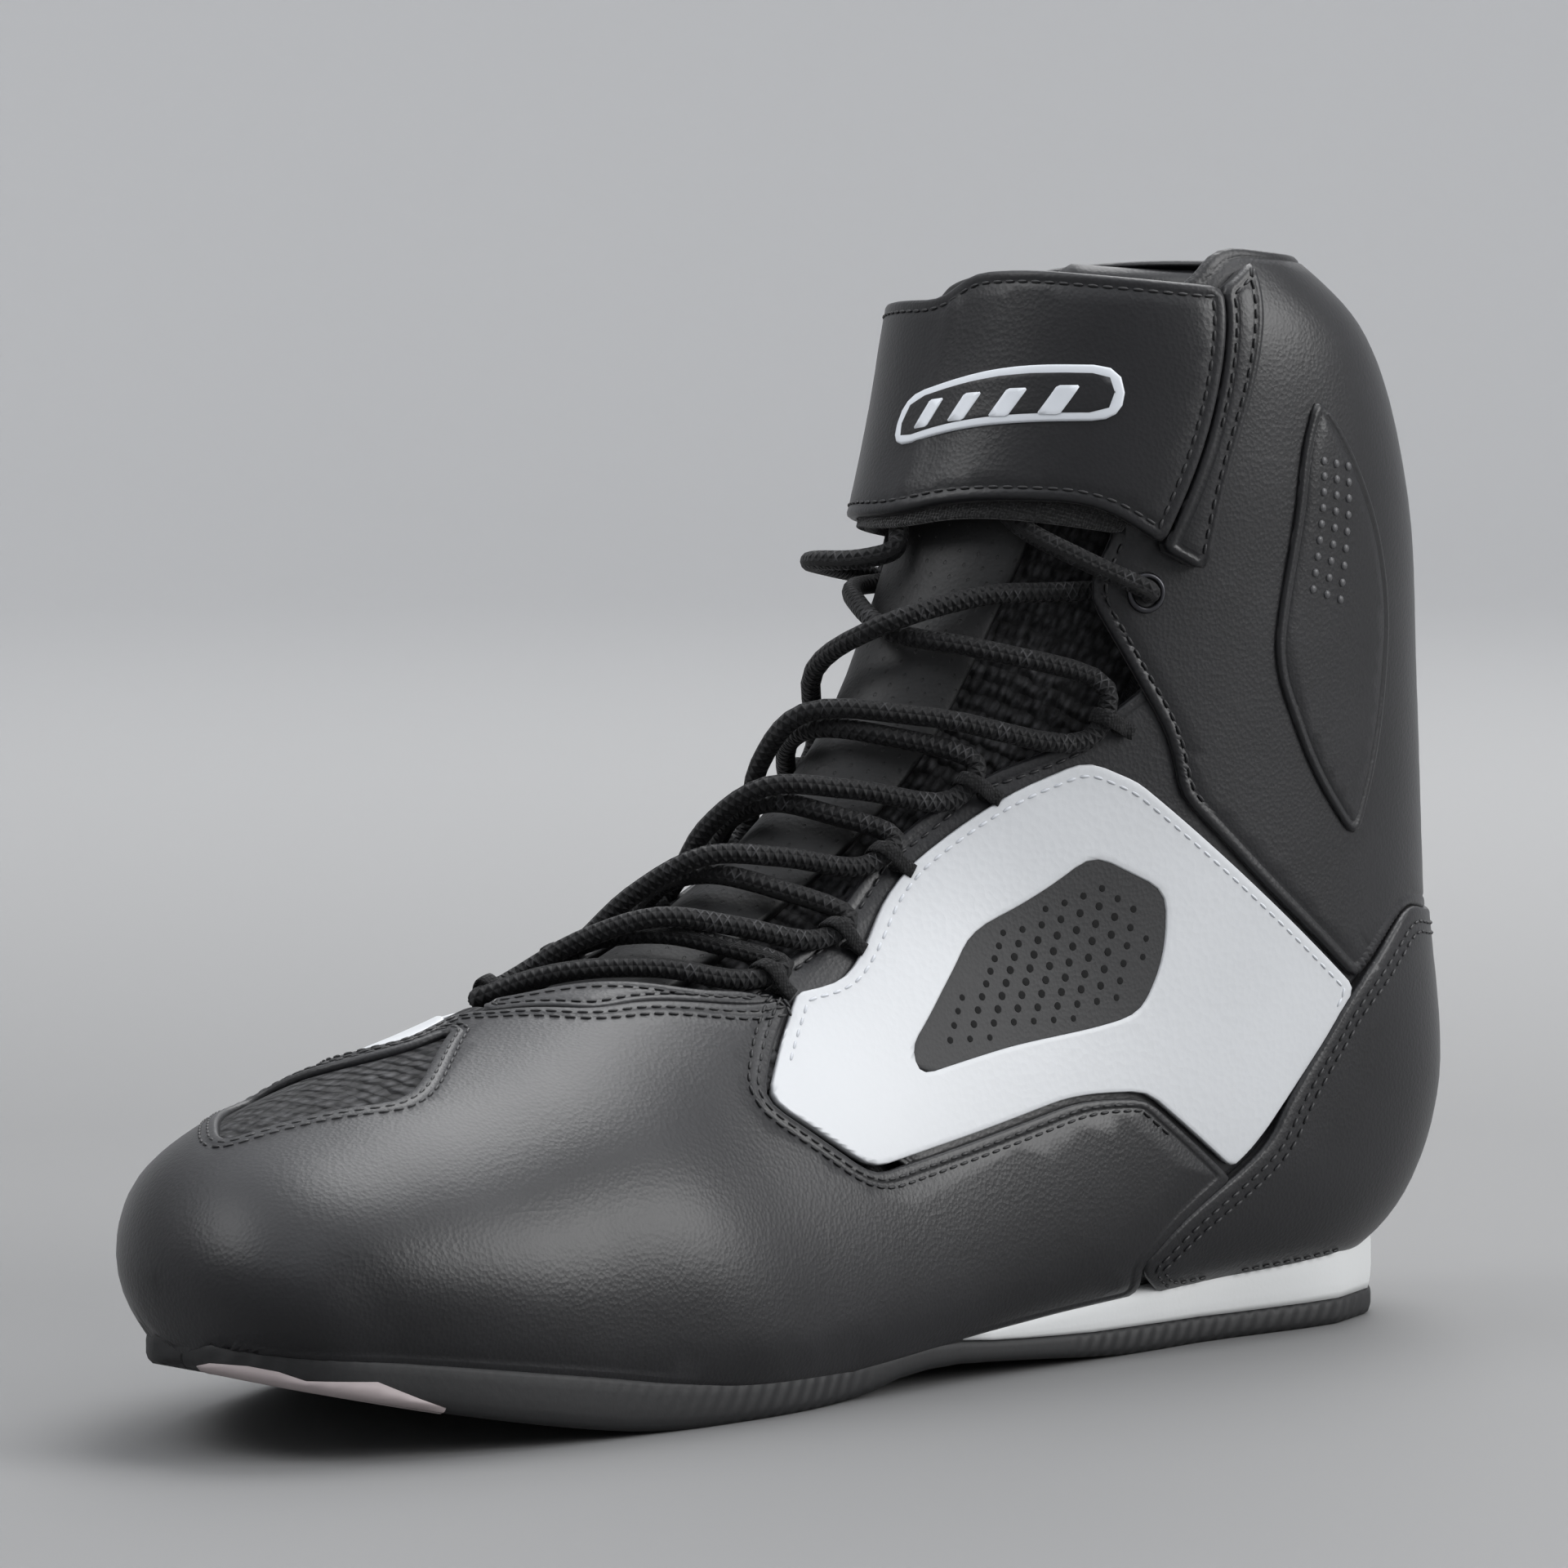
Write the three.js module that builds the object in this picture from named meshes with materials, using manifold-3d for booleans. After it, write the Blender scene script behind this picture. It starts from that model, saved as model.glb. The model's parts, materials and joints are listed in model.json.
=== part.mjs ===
// Ankle-high lace-up riding shoe for the right foot, in millimetres.
// Frame: the toe points along -Y, the inner side of the foot is +X, +Z is up, and the ground is Z = 0.
// The upper is draped on one last: a loft of girth sections. Each leather piece is a flat pattern in
// (station, girth share) that is laid on the last between two offsets from its surface.
import * as THREE from "three";
import { mergeVertices } from "three/addons/utils/BufferGeometryUtils.js";
import Module from "manifold-3d";

const wasm = await Module();
wasm.setup();

// ---- Driving dimensions ----
const LAST_LENGTH = 292; // toe to heel, over the upper
const BALL_WIDTH = 98; // across the ball of the foot
const COLLAR_HEIGHT = 198; // ground to the top of the ankle collar
const GAP = 0.3; // clearance between pieces that touch
const SEAM = 0.5; // gap between two panels that meet edge to edge
const LINING_THICKNESS = 2.6;
const STIFFENER_THICKNESS = 1;
const BASE_THICKNESS = 1.4;
const PANEL_THICKNESS = 1.3;
const TRIM_THICKNESS = 0.9;
const BACKING_THICKNESS = 0.8;
const STRAP_THICKNESS = 2;
const TONGUE_THICKNESS = 2.8;
const SOLE_EDGE = 1.5; // how far the sole stands out past the upper
const INSOLE_BOARD_THICKNESS = 1.5;
const FOOTBED_THICKNESS = 4;
const SHANK_WIDTH = 18;
const SHANK_THICKNESS = 1.3;
const INLAY_THICKNESS = 1.2;
const LACE_DIAMETER = 3.6;
const LOOP_WIDTH = 4.5; // webbing of a lace loop
const LOOP_THICKNESS = 0.7;
const EYELET_BORE = 2.6; // inner radius of a metal eyelet
const EYELET_RIM = 1.1;
const AGLET_LENGTH = 10;
const FRAME_SHIFT = [0.34, -1.25]; // puts the middle of the shoe's box over the origin

// ---- Girth sections of the last ----
// [front f, front u, back f, back u, inner half width, outer half width, side offset,
//  share where it is widest, roundness above, roundness below]
// f runs forward from the middle of the foot and u runs up from the ground.
const SECTIONS = [
  [141, 16, 141, 16, 0, 0, 14, 0.5, 2.2, 2.4],
  [145, 31, 127, 10, 23, 18, 13, 0.5, 2.2, 2.6],
  [136, 45, 109, 5, 34, 31, 9, 0.56, 2.2, 3.0],
  [117, 53, 87, 2, 42, 41, 5, 0.62, 2.2, 3.3],
  [94, 59, 64, 0, 46, 48, 2, 0.68, 2.2, 3.4],
  [72, 65, 38, 0, 47, 50, 1, 0.72, 2.1, 3.4],
  [52, 72, 10, 0, 43, 48, 0, 0.73, 2.0, 3.2],
  [34, 80, -32, 3, 38, 44, 0, 0.72, 1.9, 3.0],
  [17, 90, -80, 8, 36, 40, 0, 0.7, 1.9, 2.8],
  [2, 102, -126, 12, 36, 38, 0, 0.66, 1.9, 2.6],
  [-12, 116, -147, 36, 36, 37, 0, 0.6, 2.0, 2.4],
  [-23, 132, -145, 76, 36, 37, 0, 0.55, 2.1, 2.3],
  [-33, 150, -142, 114, 37, 38, 0, 0.52, 2.2, 2.3],
  [-41, 168, -138, 150, 38, 39, 0, 0.5, 2.3, 2.3],
  [-46, 185, -126, 180, 37, 38, 0, 0.5, 2.3, 2.3],
  [-50, 200, -104, 198, 31, 32, 0, 0.5, 2.3, 2.3],
];
const LENGTH_SCALE = LAST_LENGTH / 292;
const WIDTH_SCALE = BALL_WIDTH / 98;
const HEIGHT_SCALE = COLLAR_HEIGHT / 198;
const SCALES = [
  LENGTH_SCALE, HEIGHT_SCALE, LENGTH_SCALE, HEIGHT_SCALE, WIDTH_SCALE, WIDTH_SCALE, WIDTH_SCALE, 1, 1, 1,
];
const LAST = SECTIONS.map((row) => row.map((value, i) => value * SCALES[i]));
const STATIONS = LAST.length - 1;

// Side profiles of the sole, [f, u] from heel to toe.
const SOLE_TOP = profile([
  [-150, 19], [-125, 16], [-100, 14], [-70, 12.5], [-40, 11], [-10, 8.5], [20, 6], [50, 7], [68, 9],
  [87, 12], [115, 16], [141, 19], [150, 21],
]);
const SOLE_BOTTOM = profile([
  [-152, 9], [-147, 5], [-142, 1.5], [-136, 0], [-55, 0], [-30, 2], [-8, 3.5], [5, 3], [15, 0.5], [28, 0],
  [60, 0], [72, 0.7], [85, 2.5], [99, 4.9], [113, 7.6], [126, 10.5], [139, 13.5], [150, 17],
]);
const WEDGE_BOTTOM = profile([[-152, 9.5], [-146, 7], [-134, 4.8], [-84, 4.6], [-44, 5.2], [-20, 6.4], [-8, 7.3]]);
const WEDGE_TIP = -8 * LENGTH_SCALE;

function profile(points) {
  return points.map(([f, u]) => [f * LENGTH_SCALE, u]);
}

// ---- The last's surface ----

// Height of a profile at f.
function heightAt(line, f) {
  let i = 1;
  while (i < line.length - 1 && line[i][0] < f) i++;
  const [a, b] = [line[i - 1], line[i]];
  return a[1] + ((b[1] - a[1]) * (f - a[0])) / (b[0] - a[0]);
}

// The section at a station between the listed ones, by a Catmull-Rom curve.
function sectionAt(station) {
  const i = Math.min(Math.floor(station), STATIONS - 1);
  const x = station - i;
  const before = i === 0 ? LAST[1].map((v, k) => (k === 4 || k === 5 ? -v : v)) : LAST[i - 1];
  const after = i + 2 <= STATIONS ? LAST[i + 2] : LAST[STATIONS].map((v, k) => 2 * v - LAST[STATIONS - 1][k]);
  return LAST[i].map((b, k) => {
    const [a, c, d] = [before[k], LAST[i + 1][k], after[k]];
    return b + 0.5 * x * (c - a + x * (2 * a - 5 * b + 4 * c - d + x * (3 * (b - c) + d - a)));
  });
}

// A point of the surface. share runs from 0 on the front line to 1 on the sole or back line, and its
// sign is the side: plus is the inner side of the foot.
function skin(station, share) {
  const [ff, fu, bf, bu, inner, outer, offset, widest, above, below] = sectionAt(station);
  const side = share < 0 ? -1 : 1;
  const s = Math.abs(share);
  const angle = (s <= widest ? s / widest : 1 + (s - widest) / (1 - widest)) * (Math.PI / 2);
  const power = s <= widest ? above : below;
  const [c, w] = [Math.cos(angle), Math.sin(angle)];
  const round = Math.pow(Math.abs(c) ** power + Math.abs(w) ** power, -1 / power);
  const along = widest - (s <= widest ? widest : 1 - widest) * c * round;
  const half = side > 0 ? inner : outer;
  const f = ff + (bf - ff) * along;
  const u = fu + (bu - fu) * along;
  return new THREE.Vector3(offset + side * half * w * round, -f, u);
}

// The outward direction there. Close to the toe point it comes from just beside that point.
function outward(station, share) {
  const step = 0.02;
  const t = THREE.MathUtils.clamp(station, 0.25, STATIONS - step);
  const along = skin(t + step, share).sub(skin(t - step, share));
  const wrapped = (s) => (s > 1 ? s - 2 : s < -1 ? s + 2 : s);
  const around = skin(t, wrapped(share + step)).sub(skin(t, wrapped(share - step)));
  return around.cross(along).normalize();
}

// A point at a height over the surface.
function over(station, share, height) {
  return skin(station, share).addScaledVector(outward(station, share), height);
}

// ---- Layers: [inner height, outer height] over the surface ----
const BASE = [-0.6 - BASE_THICKNESS, -0.6];
const PANEL = [BASE[1] + GAP, BASE[1] + GAP + PANEL_THICKNESS];
const TRIM = [PANEL[1] + GAP, PANEL[1] + GAP + TRIM_THICKNESS];
const BACKING = [TRIM[1] + GAP, TRIM[1] + GAP + BACKING_THICKNESS];
const STRAP = [BACKING[1] + GAP, BACKING[1] + GAP + STRAP_THICKNESS];
const BADGE = [STRAP[1] + GAP, STRAP[1] + GAP + 0.6];
const STIFFENER = [BASE[0] - GAP - STIFFENER_THICKNESS, BASE[0] - GAP];
const LINING = [STIFFENER[0] - GAP - LINING_THICKNESS, STIFFENER[0] - GAP];
const TONGUE = [-3.2 - TONGUE_THICKNESS, -3.2];
const GUSSET = [TONGUE[0] - 1.4, TONGUE[0] - 0.6];

// ---- Solids ----

function toSolid(geometry) {
  return new wasm.Manifold(
    new wasm.Mesh({
      numProp: 3,
      vertProperties: new Float32Array(geometry.attributes.position.array),
      triVerts: new Uint32Array(geometry.index.array),
    }),
  );
}

// The same for a geometry class's mesh, whose faces don't share vertices yet.
function weld(geometry) {
  const bare = geometry.clone();
  bare.deleteAttribute("normal");
  bare.deleteAttribute("uv");
  return toSolid(mergeVertices(bare, 1e-4));
}

function toGeometry(solid) {
  const mesh = solid.getMesh();
  return new THREE.BufferGeometry()
    .setAttribute("position", new THREE.BufferAttribute(mesh.vertProperties, 3))
    .setIndex(new THREE.BufferAttribute(mesh.triVerts, 1));
}

// A closed shape with each listed corner rounded: points are [x, y] or [x, y, radius].
function roundedShape(points) {
  const shape = new THREE.Shape();
  points.forEach(([x, y, radius = 0], i) => {
    const here = new THREE.Vector2(x, y);
    const [px, py] = points.at(i - 1);
    const [nx, ny] = points[(i + 1) % points.length];
    const back = new THREE.Vector2(px, py).sub(here);
    const ahead = new THREE.Vector2(nx, ny).sub(here);
    const reach = Math.min(radius, back.length() / 2, ahead.length() / 2);
    const start = here.clone().addScaledVector(back.normalize(), reach);
    const end = here.clone().addScaledVector(ahead.normalize(), reach);
    if (i === 0) shape.moveTo(start.x, start.y);
    else shape.lineTo(start.x, start.y);
    if (reach > 0) shape.quadraticCurveTo(here.x, here.y, end.x, end.y);
  });
  shape.closePath();
  return shape;
}

// Flat pattern space: x is the station and y the girth share, stretched so that both are near
// millimetres, and z is bowed a little so that no two grid triangles lie in one plane.
const PATTERN = { x: 20, y: 120, bow: 0.001, thick: 10 };
const GRID = { station: 0.5, share: 1 / 12 };
const bow = (x, y) => PATTERN.bow * (x * x + y * y + x * y);

// One bowed slab that covers the whole last, with the same diagonals above and below.
function patternSlab() {
  const across = Math.round(STATIONS / GRID.station);
  const around = Math.round(2 / GRID.share);
  const positions = [];
  for (const z of [0, PATTERN.thick])
    for (let i = 0; i <= across; i++)
      for (let j = 0; j <= around; j++) {
        const [x, y] = [i * GRID.station * PATTERN.x, (j * GRID.share - 1) * PATTERN.y];
        positions.push(x, y, z + bow(x, y));
      }
  const at = (k, i, j) => (k * (across + 1) + i) * (around + 1) + j;
  const index = [];
  const quad = (a, b, c, d) => index.push(a, b, d, c, d, b);
  for (let i = 0; i < across; i++)
    for (let j = 0; j < around; j++) {
      quad(at(1, i, j), at(1, i + 1, j), at(1, i + 1, j + 1), at(1, i, j + 1));
      index.push(at(0, i, j), at(0, i, j + 1), at(0, i + 1, j));
      index.push(at(0, i + 1, j + 1), at(0, i + 1, j), at(0, i, j + 1));
    }
  for (let i = 0; i < across; i++) {
    quad(at(0, i, 0), at(0, i + 1, 0), at(1, i + 1, 0), at(1, i, 0));
    quad(at(0, i + 1, around), at(0, i, around), at(1, i, around), at(1, i + 1, around));
  }
  for (let j = 0; j < around; j++) {
    quad(at(0, 0, j + 1), at(0, 0, j), at(1, 0, j), at(1, 0, j + 1));
    quad(at(0, across, j), at(0, across, j + 1), at(1, across, j + 1), at(1, across, j));
  }
  const slab = new THREE.BufferGeometry();
  slab.setAttribute("position", new THREE.Float32BufferAttribute(positions, 3));
  slab.setIndex(index);
  return toSolid(slab);
}
const SLAB = patternSlab();

// The grid's corner nearest below a value, and the share of a cell past it.
function cell(value, step) {
  const i = Math.floor(value / step + 1e-6);
  return [i * step, value / step - i];
}

// Lays a pattern point on the last, flat inside each grid triangle so that layers stay parallel.
function lay(x, y, height, place) {
  const [t, a] = cell(x / PATTERN.x, GRID.station);
  const [s, b] = cell(y / PATTERN.y, GRID.share);
  const at = (i, j) =>
    place(Math.min(t + i * GRID.station, STATIONS), THREE.MathUtils.clamp(s + j * GRID.share, -1, 1), height);
  const blend = (p, q, r, kq, kr) => p.multiplyScalar(1 - kq - kr).addScaledVector(q, kq).addScaledVector(r, kr);
  return a + b <= 1 ? blend(at(0, 0), at(1, 0), at(0, 1), a, b) : blend(at(1, 1), at(0, 1), at(1, 0), 1 - a, 1 - b);
}

// An outline moved outwards by a margin, in pattern millimetres.
function grow(points, margin) {
  const area = points.reduce((sum, [x, y], i) => {
    const [nx, ny] = points[(i + 1) % points.length];
    return sum + (x * ny - nx * y) * PATTERN.x * PATTERN.y;
  }, 0);
  const sign = area > 0 ? 1 : -1;
  const mm = ([x, y]) => new THREE.Vector2(x * PATTERN.x, y * PATTERN.y);
  const edgeNormal = (a, b) => {
    const e = mm(b).sub(mm(a)).normalize();
    return new THREE.Vector2(e.y * sign, -e.x * sign);
  };
  return points.map((point, i) => {
    const n0 = edgeNormal(points.at(i - 1), point);
    const n1 = edgeNormal(point, points[(i + 1) % points.length]);
    const n = n0.clone().add(n1);
    const reach = (2 * margin) / Math.max(n.lengthSq(), 0.5);
    const moved = mm(point).addScaledVector(n, reach);
    return [moved.x / PATTERN.x, moved.y / PATTERN.y, point[2]];
  });
}

// The other side's outline, and an outline whose shares are counted from the back line.
const mirrored = (points) => points.map(([t, s, radius]) => [t, -s, radius]);
const turnedBack = (s) => (s < 0 ? s + 1 : s - 1);
const fromBack = (points) => points.map(([t, s, radius]) => [t, turnedBack(s), radius]);

// The prism over an outline of [station, share, corner radius] points.
function patternPrism(points) {
  const shape = roundedShape(points.map(([t, s, radius]) => [t * PATTERN.x, s * PATTERN.y, radius]));
  const tall = bow(STATIONS * PATTERN.x, PATTERN.y) + 3 * PATTERN.thick;
  const prism = new THREE.ExtrudeGeometry(shape, { depth: tall, bevelEnabled: false, curveSegments: 3 });
  return weld(prism.translate(0, 0, -PATTERN.thick));
}

// A panel from its outline, laid between two heights, less the outlines in cuts. With back set, the
// shares are counted from the back line.
function panel(outline, [inner, outer], { back = false, cuts = [], floor = UNDER_UPPER } = {}) {
  let flat = SLAB.intersect(patternPrism(outline));
  for (const cut of cuts) flat = flat.subtract(patternPrism(cut));
  const geometry = toGeometry(flat);
  const place = back ? (t, y, h) => over(t, turnedBack(y), h) : over;
  const p = geometry.attributes.position;
  for (let i = 0; i < p.count; i++) {
    const [x, y, z] = [p.getX(i), p.getY(i), p.getZ(i)];
    const outside = z - bow(x, y) > PATTERN.thick / 2;
    const point = lay(x, y, outside ? outer : inner, place);
    p.setXYZ(i, point.x, point.y, point.z);
  }
  const index = geometry.index.array;
  // Station, share and height are left-handed, so each face is turned round.
  for (let i = 0; i < index.length; i += 3) [index[i + 1], index[i + 2]] = [index[i + 2], index[i + 1]];
  return toSolid(geometry).subtract(floor);
}

// A prism along X from a side outline of [f, u] points.
function sidePrism(points, halfWidth = 100) {
  const shape = new THREE.Shape(points.map(([f, u]) => new THREE.Vector2(-f, u)));
  const g = new THREE.ExtrudeGeometry(shape, { depth: 2 * halfWidth, bevelEnabled: false });
  g.applyMatrix4(
    new THREE.Matrix4().makeBasis(
      new THREE.Vector3(0, 1, 0), new THREE.Vector3(0, 0, 1), new THREE.Vector3(1, 0, 0),
    ),
  );
  return weld(g.translate(-halfWidth, 0, 0));
}

// A prism along Z from a plan outline of [side, f] points.
function planPrism(points, low = -10, high = 60) {
  const shape = new THREE.Shape(points.map(([l, f]) => new THREE.Vector2(l, -f)));
  const g = new THREE.ExtrudeGeometry(shape, { depth: high - low, bevelEnabled: false });
  return weld(g.translate(0, 0, low));
}

// ---- The sole's plan, from the line where the upper meets it ----

// The share at which a section meets the sole.
function featherShare(station, side) {
  const clearance = (s) => {
    const p = skin(station, side * s);
    return p.z - heightAt(SOLE_TOP, -p.y);
  };
  let [low, high] = [0, 1];
  for (let i = 0; i < 30; i++) {
    const mid = (low + high) / 2;
    if (clearance(mid) > 0) low = mid;
    else high = mid;
  }
  return high;
}

// The plan outline of the feather line, moved out by a margin. Moved inwards, it skips the stations
// whose round ends are tighter than the margin.
function solePlan(margin) {
  const middle = [1.5, 2, 2.5, 3, 3.5, 4, 4.5, 5, 5.5, 6, 6.5, 7, 7.5, 8];
  const steps = margin > 0 ? [0.12, 0.3, 0.55, 0.8, 1.1, ...middle, 8.3, 8.6, 8.85, 9.05, 9.2] : [1, ...middle, 8.5];
  const edge = (side) => steps.map((t) => skin(t, side * featherShare(t, side)));
  const outline = [skin(0, 1), ...edge(1), skin(9.29, 1), ...edge(-1).reverse()];
  return outline.map((p, i) => {
    const [before, after] = [outline.at(i - 1), outline[(i + 1) % outline.length]];
    const normal = new THREE.Vector2(after.y - before.y, before.x - after.x).normalize();
    const here = new THREE.Vector2(p.x, p.y);
    if (normal.dot(here) < 0) normal.negate();
    here.addScaledVector(normal, margin);
    return [here.x, -here.y];
  });
}

// The outline between two profiles, each moved by its own rise, from f0 to f1.
function between(lower, lowerRise, upper, upperRise, f0, f1) {
  const inside = (line) => line.filter(([f]) => f > f0 && f < f1);
  const row = (line, rise) =>
    [[f0, heightAt(line, f0)], ...inside(line), [f1, heightAt(line, f1)]].map(([f, u]) => [f, u + rise]);
  return [...row(lower, lowerRise), ...row(upper, upperRise).reverse()];
}

const HEEL_END = -152 * LENGTH_SCALE;
const TOE_END = 150 * LENGTH_SCALE;

// What lies between two profiles inside a plan outline.
function slab(plan, lower, lowerRise, upper, upperRise, f0 = HEEL_END, f1 = TOE_END) {
  return planPrism(plan).intersect(sidePrism(between(lower, lowerRise, upper, upperRise, f0, f1)));
}

// Everything below the sole's top face, which trims each piece of the upper.
const DEPTH = profile([[-200, -60], [200, -60]]);
const under = (rise) => sidePrism(between(DEPTH, 0, SOLE_TOP, rise, HEEL_END - 20, TOE_END + 20));
const UNDER_UPPER = under(GAP);
const UNDER_LINING = under(2 * GAP + INSOLE_BOARD_THICKNESS);

// ---- Outlines, [station, share, corner radius] ----
// The inner side is measured on the shoe. The outer side's overlay and lacing start further forward.
// Pieces that go round the toe start just past its point, which is inside the sole.
const TOE_START = 0.15;
const OVERLAY_INNER = [
  [7.25, 0.312, 1], [7.6, 0.333, 6], [7.94, 0.312, 6], [8.5, 0.266, 6], [8.9, 0.252, 4], [9.44, 0.262],
  [9.96, 0.288], [10.43, 0.335, 4], [10.47, 0.39, 2], [10.26, 0.529], [10.09, 0.654, 2], [9.5, 0.65],
  [8.97, 0.672], [8.54, 0.709, 2], [8.53, 0.598, 3], [8.15, 0.582], [7.55, 0.584], [6.64, 0.578, 4],
  [6.3, 0.432, 4], [6.78, 0.366],
];
const OVERLAY_OUTER = [
  [4.55, -0.06, 2], [5.1, -0.075, 3], [5.4, -0.2, 4], [6.5, -0.24], [7.7, -0.262], [8.6, -0.28], [9.6, -0.3],
  [10.43, -0.345, 4], [10.47, -0.39, 2], [10.26, -0.529], [10.09, -0.654, 2], [9.5, -0.65], [8.97, -0.672],
  [8.54, -0.709, 2], [8.53, -0.598, 3], [8.15, -0.582], [7.55, -0.584], [6.4, -0.56], [5.3, -0.45],
  [4.55, -0.28, 5], [4.3, -0.14, 5],
];
const VENT = [
  [9.8, 0.382, 3], [9.87, 0.455, 3], [9.44, 0.492], [8.98, 0.518, 3], [7.42, 0.49, 3], [7.55, 0.452, 3],
  [8.7, 0.354, 5],
];
const KNIT_WINDOW = [
  [2.5, 0, 3], [3.05, 0.07], [3.62, 0.15, 3], [3.9, 0.138], [4.2, 0.098], [4.6, 0.035], [4.85, 0, 2],
  [4.3, -0.03], [3.85, -0.06], [3.4, -0.09, 3], [2.95, -0.06],
];
const TOE_WRAP = [
  [TOE_START, -1], [7.1, -1], [7.66, -0.815], [8.5, -0.722], [8.5, -0.56], [5.2, -0.4], [4.8, -0.1], [5.2, -0.02],
  [5.27, 0, 2], [5.71, 0.148], [6.12, 0.182], [6.82, 0.288], [7.2, 0.32], [7, 0.5], [8.5, 0.57], [8.5, 0.722],
  [7.66, 0.815], [7.1, 1], [TOE_START, 1],
];
const THROAT_PIECE = [
  [5.32, 0.005], [5.75, 0.155], [6.15, 0.19], [6.84, 0.292], [7.12, 0.318], [6.95, 0.268], [6.63, 0.226],
  [6.16, 0.11, 4], [5.62, 0, 4], [5.45, -0.06], [5.28, -0.02],
];
const LACE_EDGE_INNER = [[6.75, 0.292], [7.95, 0.297], [8.85, 0.251], [9.8, 0.274], [10.78, 0.369], [11.8, 0.42], [12.4, 0.36]];
const LACE_EDGE_OUTER = [
  [5.5, -0.165], [6.6, -0.199], [7.75, -0.219], [8.7, -0.239], [9.8, -0.274], [10.78, -0.36], [11.8, -0.42], [12.4, -0.36],
];
const QUARTER_INNER = [[6.4, 0.34, 3], ...LACE_EDGE_INNER, [14.3, 0.36, 3], [14.5, 0.997], [6.3, 0.997], [6, 0.6]];
const QUARTER_OUTER = [[5.25, -0.2, 3], ...LACE_EDGE_OUTER, [14.3, -0.36, 3], [14.5, -0.997], [6, -0.997], [5, -0.6]];
const VAMP = [
  [TOE_START, -1], [6.4, -1], [5.4, -0.4], [5.55, -0.12, 3], [5.4, -0.03], [5.55, 0, 3], [6.1, 0.115], [6.58, 0.23],
  [6.75, 0.28], [6.7, 0.5], [6.7, 1], [TOE_START, 1],
];
const CUFF_INNER = [
  [12.6, 0.262, 3], [12.15, 0.284], [11.85, 0.276], [11.6, 0.282, 5], [11.16, 0.358], [10.88, 0.409],
  [10.54, 0.436], [10.4, 0.47], [10, 0.62], [10, 0.997], [14.7, 0.997], [14.8, 0.75], [14.92, 0.46, 4],
  [14.4, 0.34, 4], [14.2, 0.27, 4],
];
const COUNTER_BACK = [
  [11.05, 0], [10.72, 0.27, 3], [10.45, 0.31], [10.03, 0.346], [9.33, 0.342], [8.5, 0.275], [7.95, 0.217],
  [7.76, 0.188], [7.76, 0.14], [8.6, 0],
];
const COUNTER = [...COUNTER_BACK, ...mirrored(COUNTER_BACK).reverse().slice(1, -1)];
const GUARD = [
  [13.52, 0.53, 3], [13.09, 0.495], [12.17, 0.491], [11.65, 0.494, 4], [11.1, 0.568], [10.86, 0.634, 3],
  [11.55, 0.66], [12.23, 0.667, 4], [12.62, 0.642], [13.24, 0.576],
];
const LINING_INNER = [
  [5.1, 0.33], [10.7, 0.34], [11.3, 0.41], [12.2, 0.41], [12.6, 0.35], [14.3, 0.35, 3], [14.6, 0.42], [14.6, 0.997],
  [5.1, 0.997],
];
const VAMP_LINING = [[TOE_START, -1], [5.02, -1], [5.02, 1], [TOE_START, 1]];
const TONGUE_LOWER = [
  [5.05, -0.1, 3], [5.05, 0.1, 3], [6.5, 0.17], [13.03, 0.19], [13.03, -0.19], [6.5, -0.17],
];
const TONGUE_TOP_START = 13.055;
const TONGUE_UPPER = [
  [TONGUE_TOP_START, -0.19], [14.5, -0.22, 6], [14.75, -0.1, 6], [14.75, 0.1, 6], [14.5, 0.22, 6], [TONGUE_TOP_START, 0.19],
];
const GUSSET_INNER = [[5.3, 0.14], [6.5, 0.15], [12.9, 0.17], [12.9, 0.37], [5.3, 0.37]];
const TOE_PUFF = [[TOE_START, -1], [2.4, -1], [2.4, 1], [TOE_START, 1]];
const STIFFENER_BACK = [[7.9, -0.28, 3], [10.3, -0.32, 6], [10.3, 0.32, 6], [7.9, 0.28, 3]];
const STRAP_FOLD = [[12.15, 0.33], [13.2, 0.352], [14.35, 0.392]];
const STRAP_SEAM = [[14.68, 0.483, 2], [13.67, 0.418], [12.85, 0.38], [12.04, 0.386, 2]];
const STRAP_OUTLINE = [
  ...STRAP_FOLD, [14.45, 0.24], [14.5, 0.15, 4], [14.05, 0, 4], [14.1, -0.2], [13.95, -0.42, 4], [12.3, -0.42, 4],
  [12, -0.2], [11.85, -0.03], [12.1, 0.1], [12.33, 0.25],
];
const BACKING_OUTLINE = [
  [12.15, 0.29], [14.1, 0.3], [14.2, 0.15], [13.85, 0], [13.9, -0.2], [13.8, -0.41, 3], [12.2, -0.41, 3],
  [11.93, -0.2], [11.78, -0.03], [12, 0.12],
];
const LOOP_PATCH = [[12.55, -0.29, 1], [12.55, -0.4, 1], [13.7, -0.4, 1], [13.7, -0.29, 1]];
const BADGE_OUTLINE = [
  [13.1, -0.03, 3], [13.48, 0.12], [13.55, 0.25, 4], [13.05, 0.255, 4], [12.85, 0.12], [12.6, -0.03, 3],
];

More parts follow.
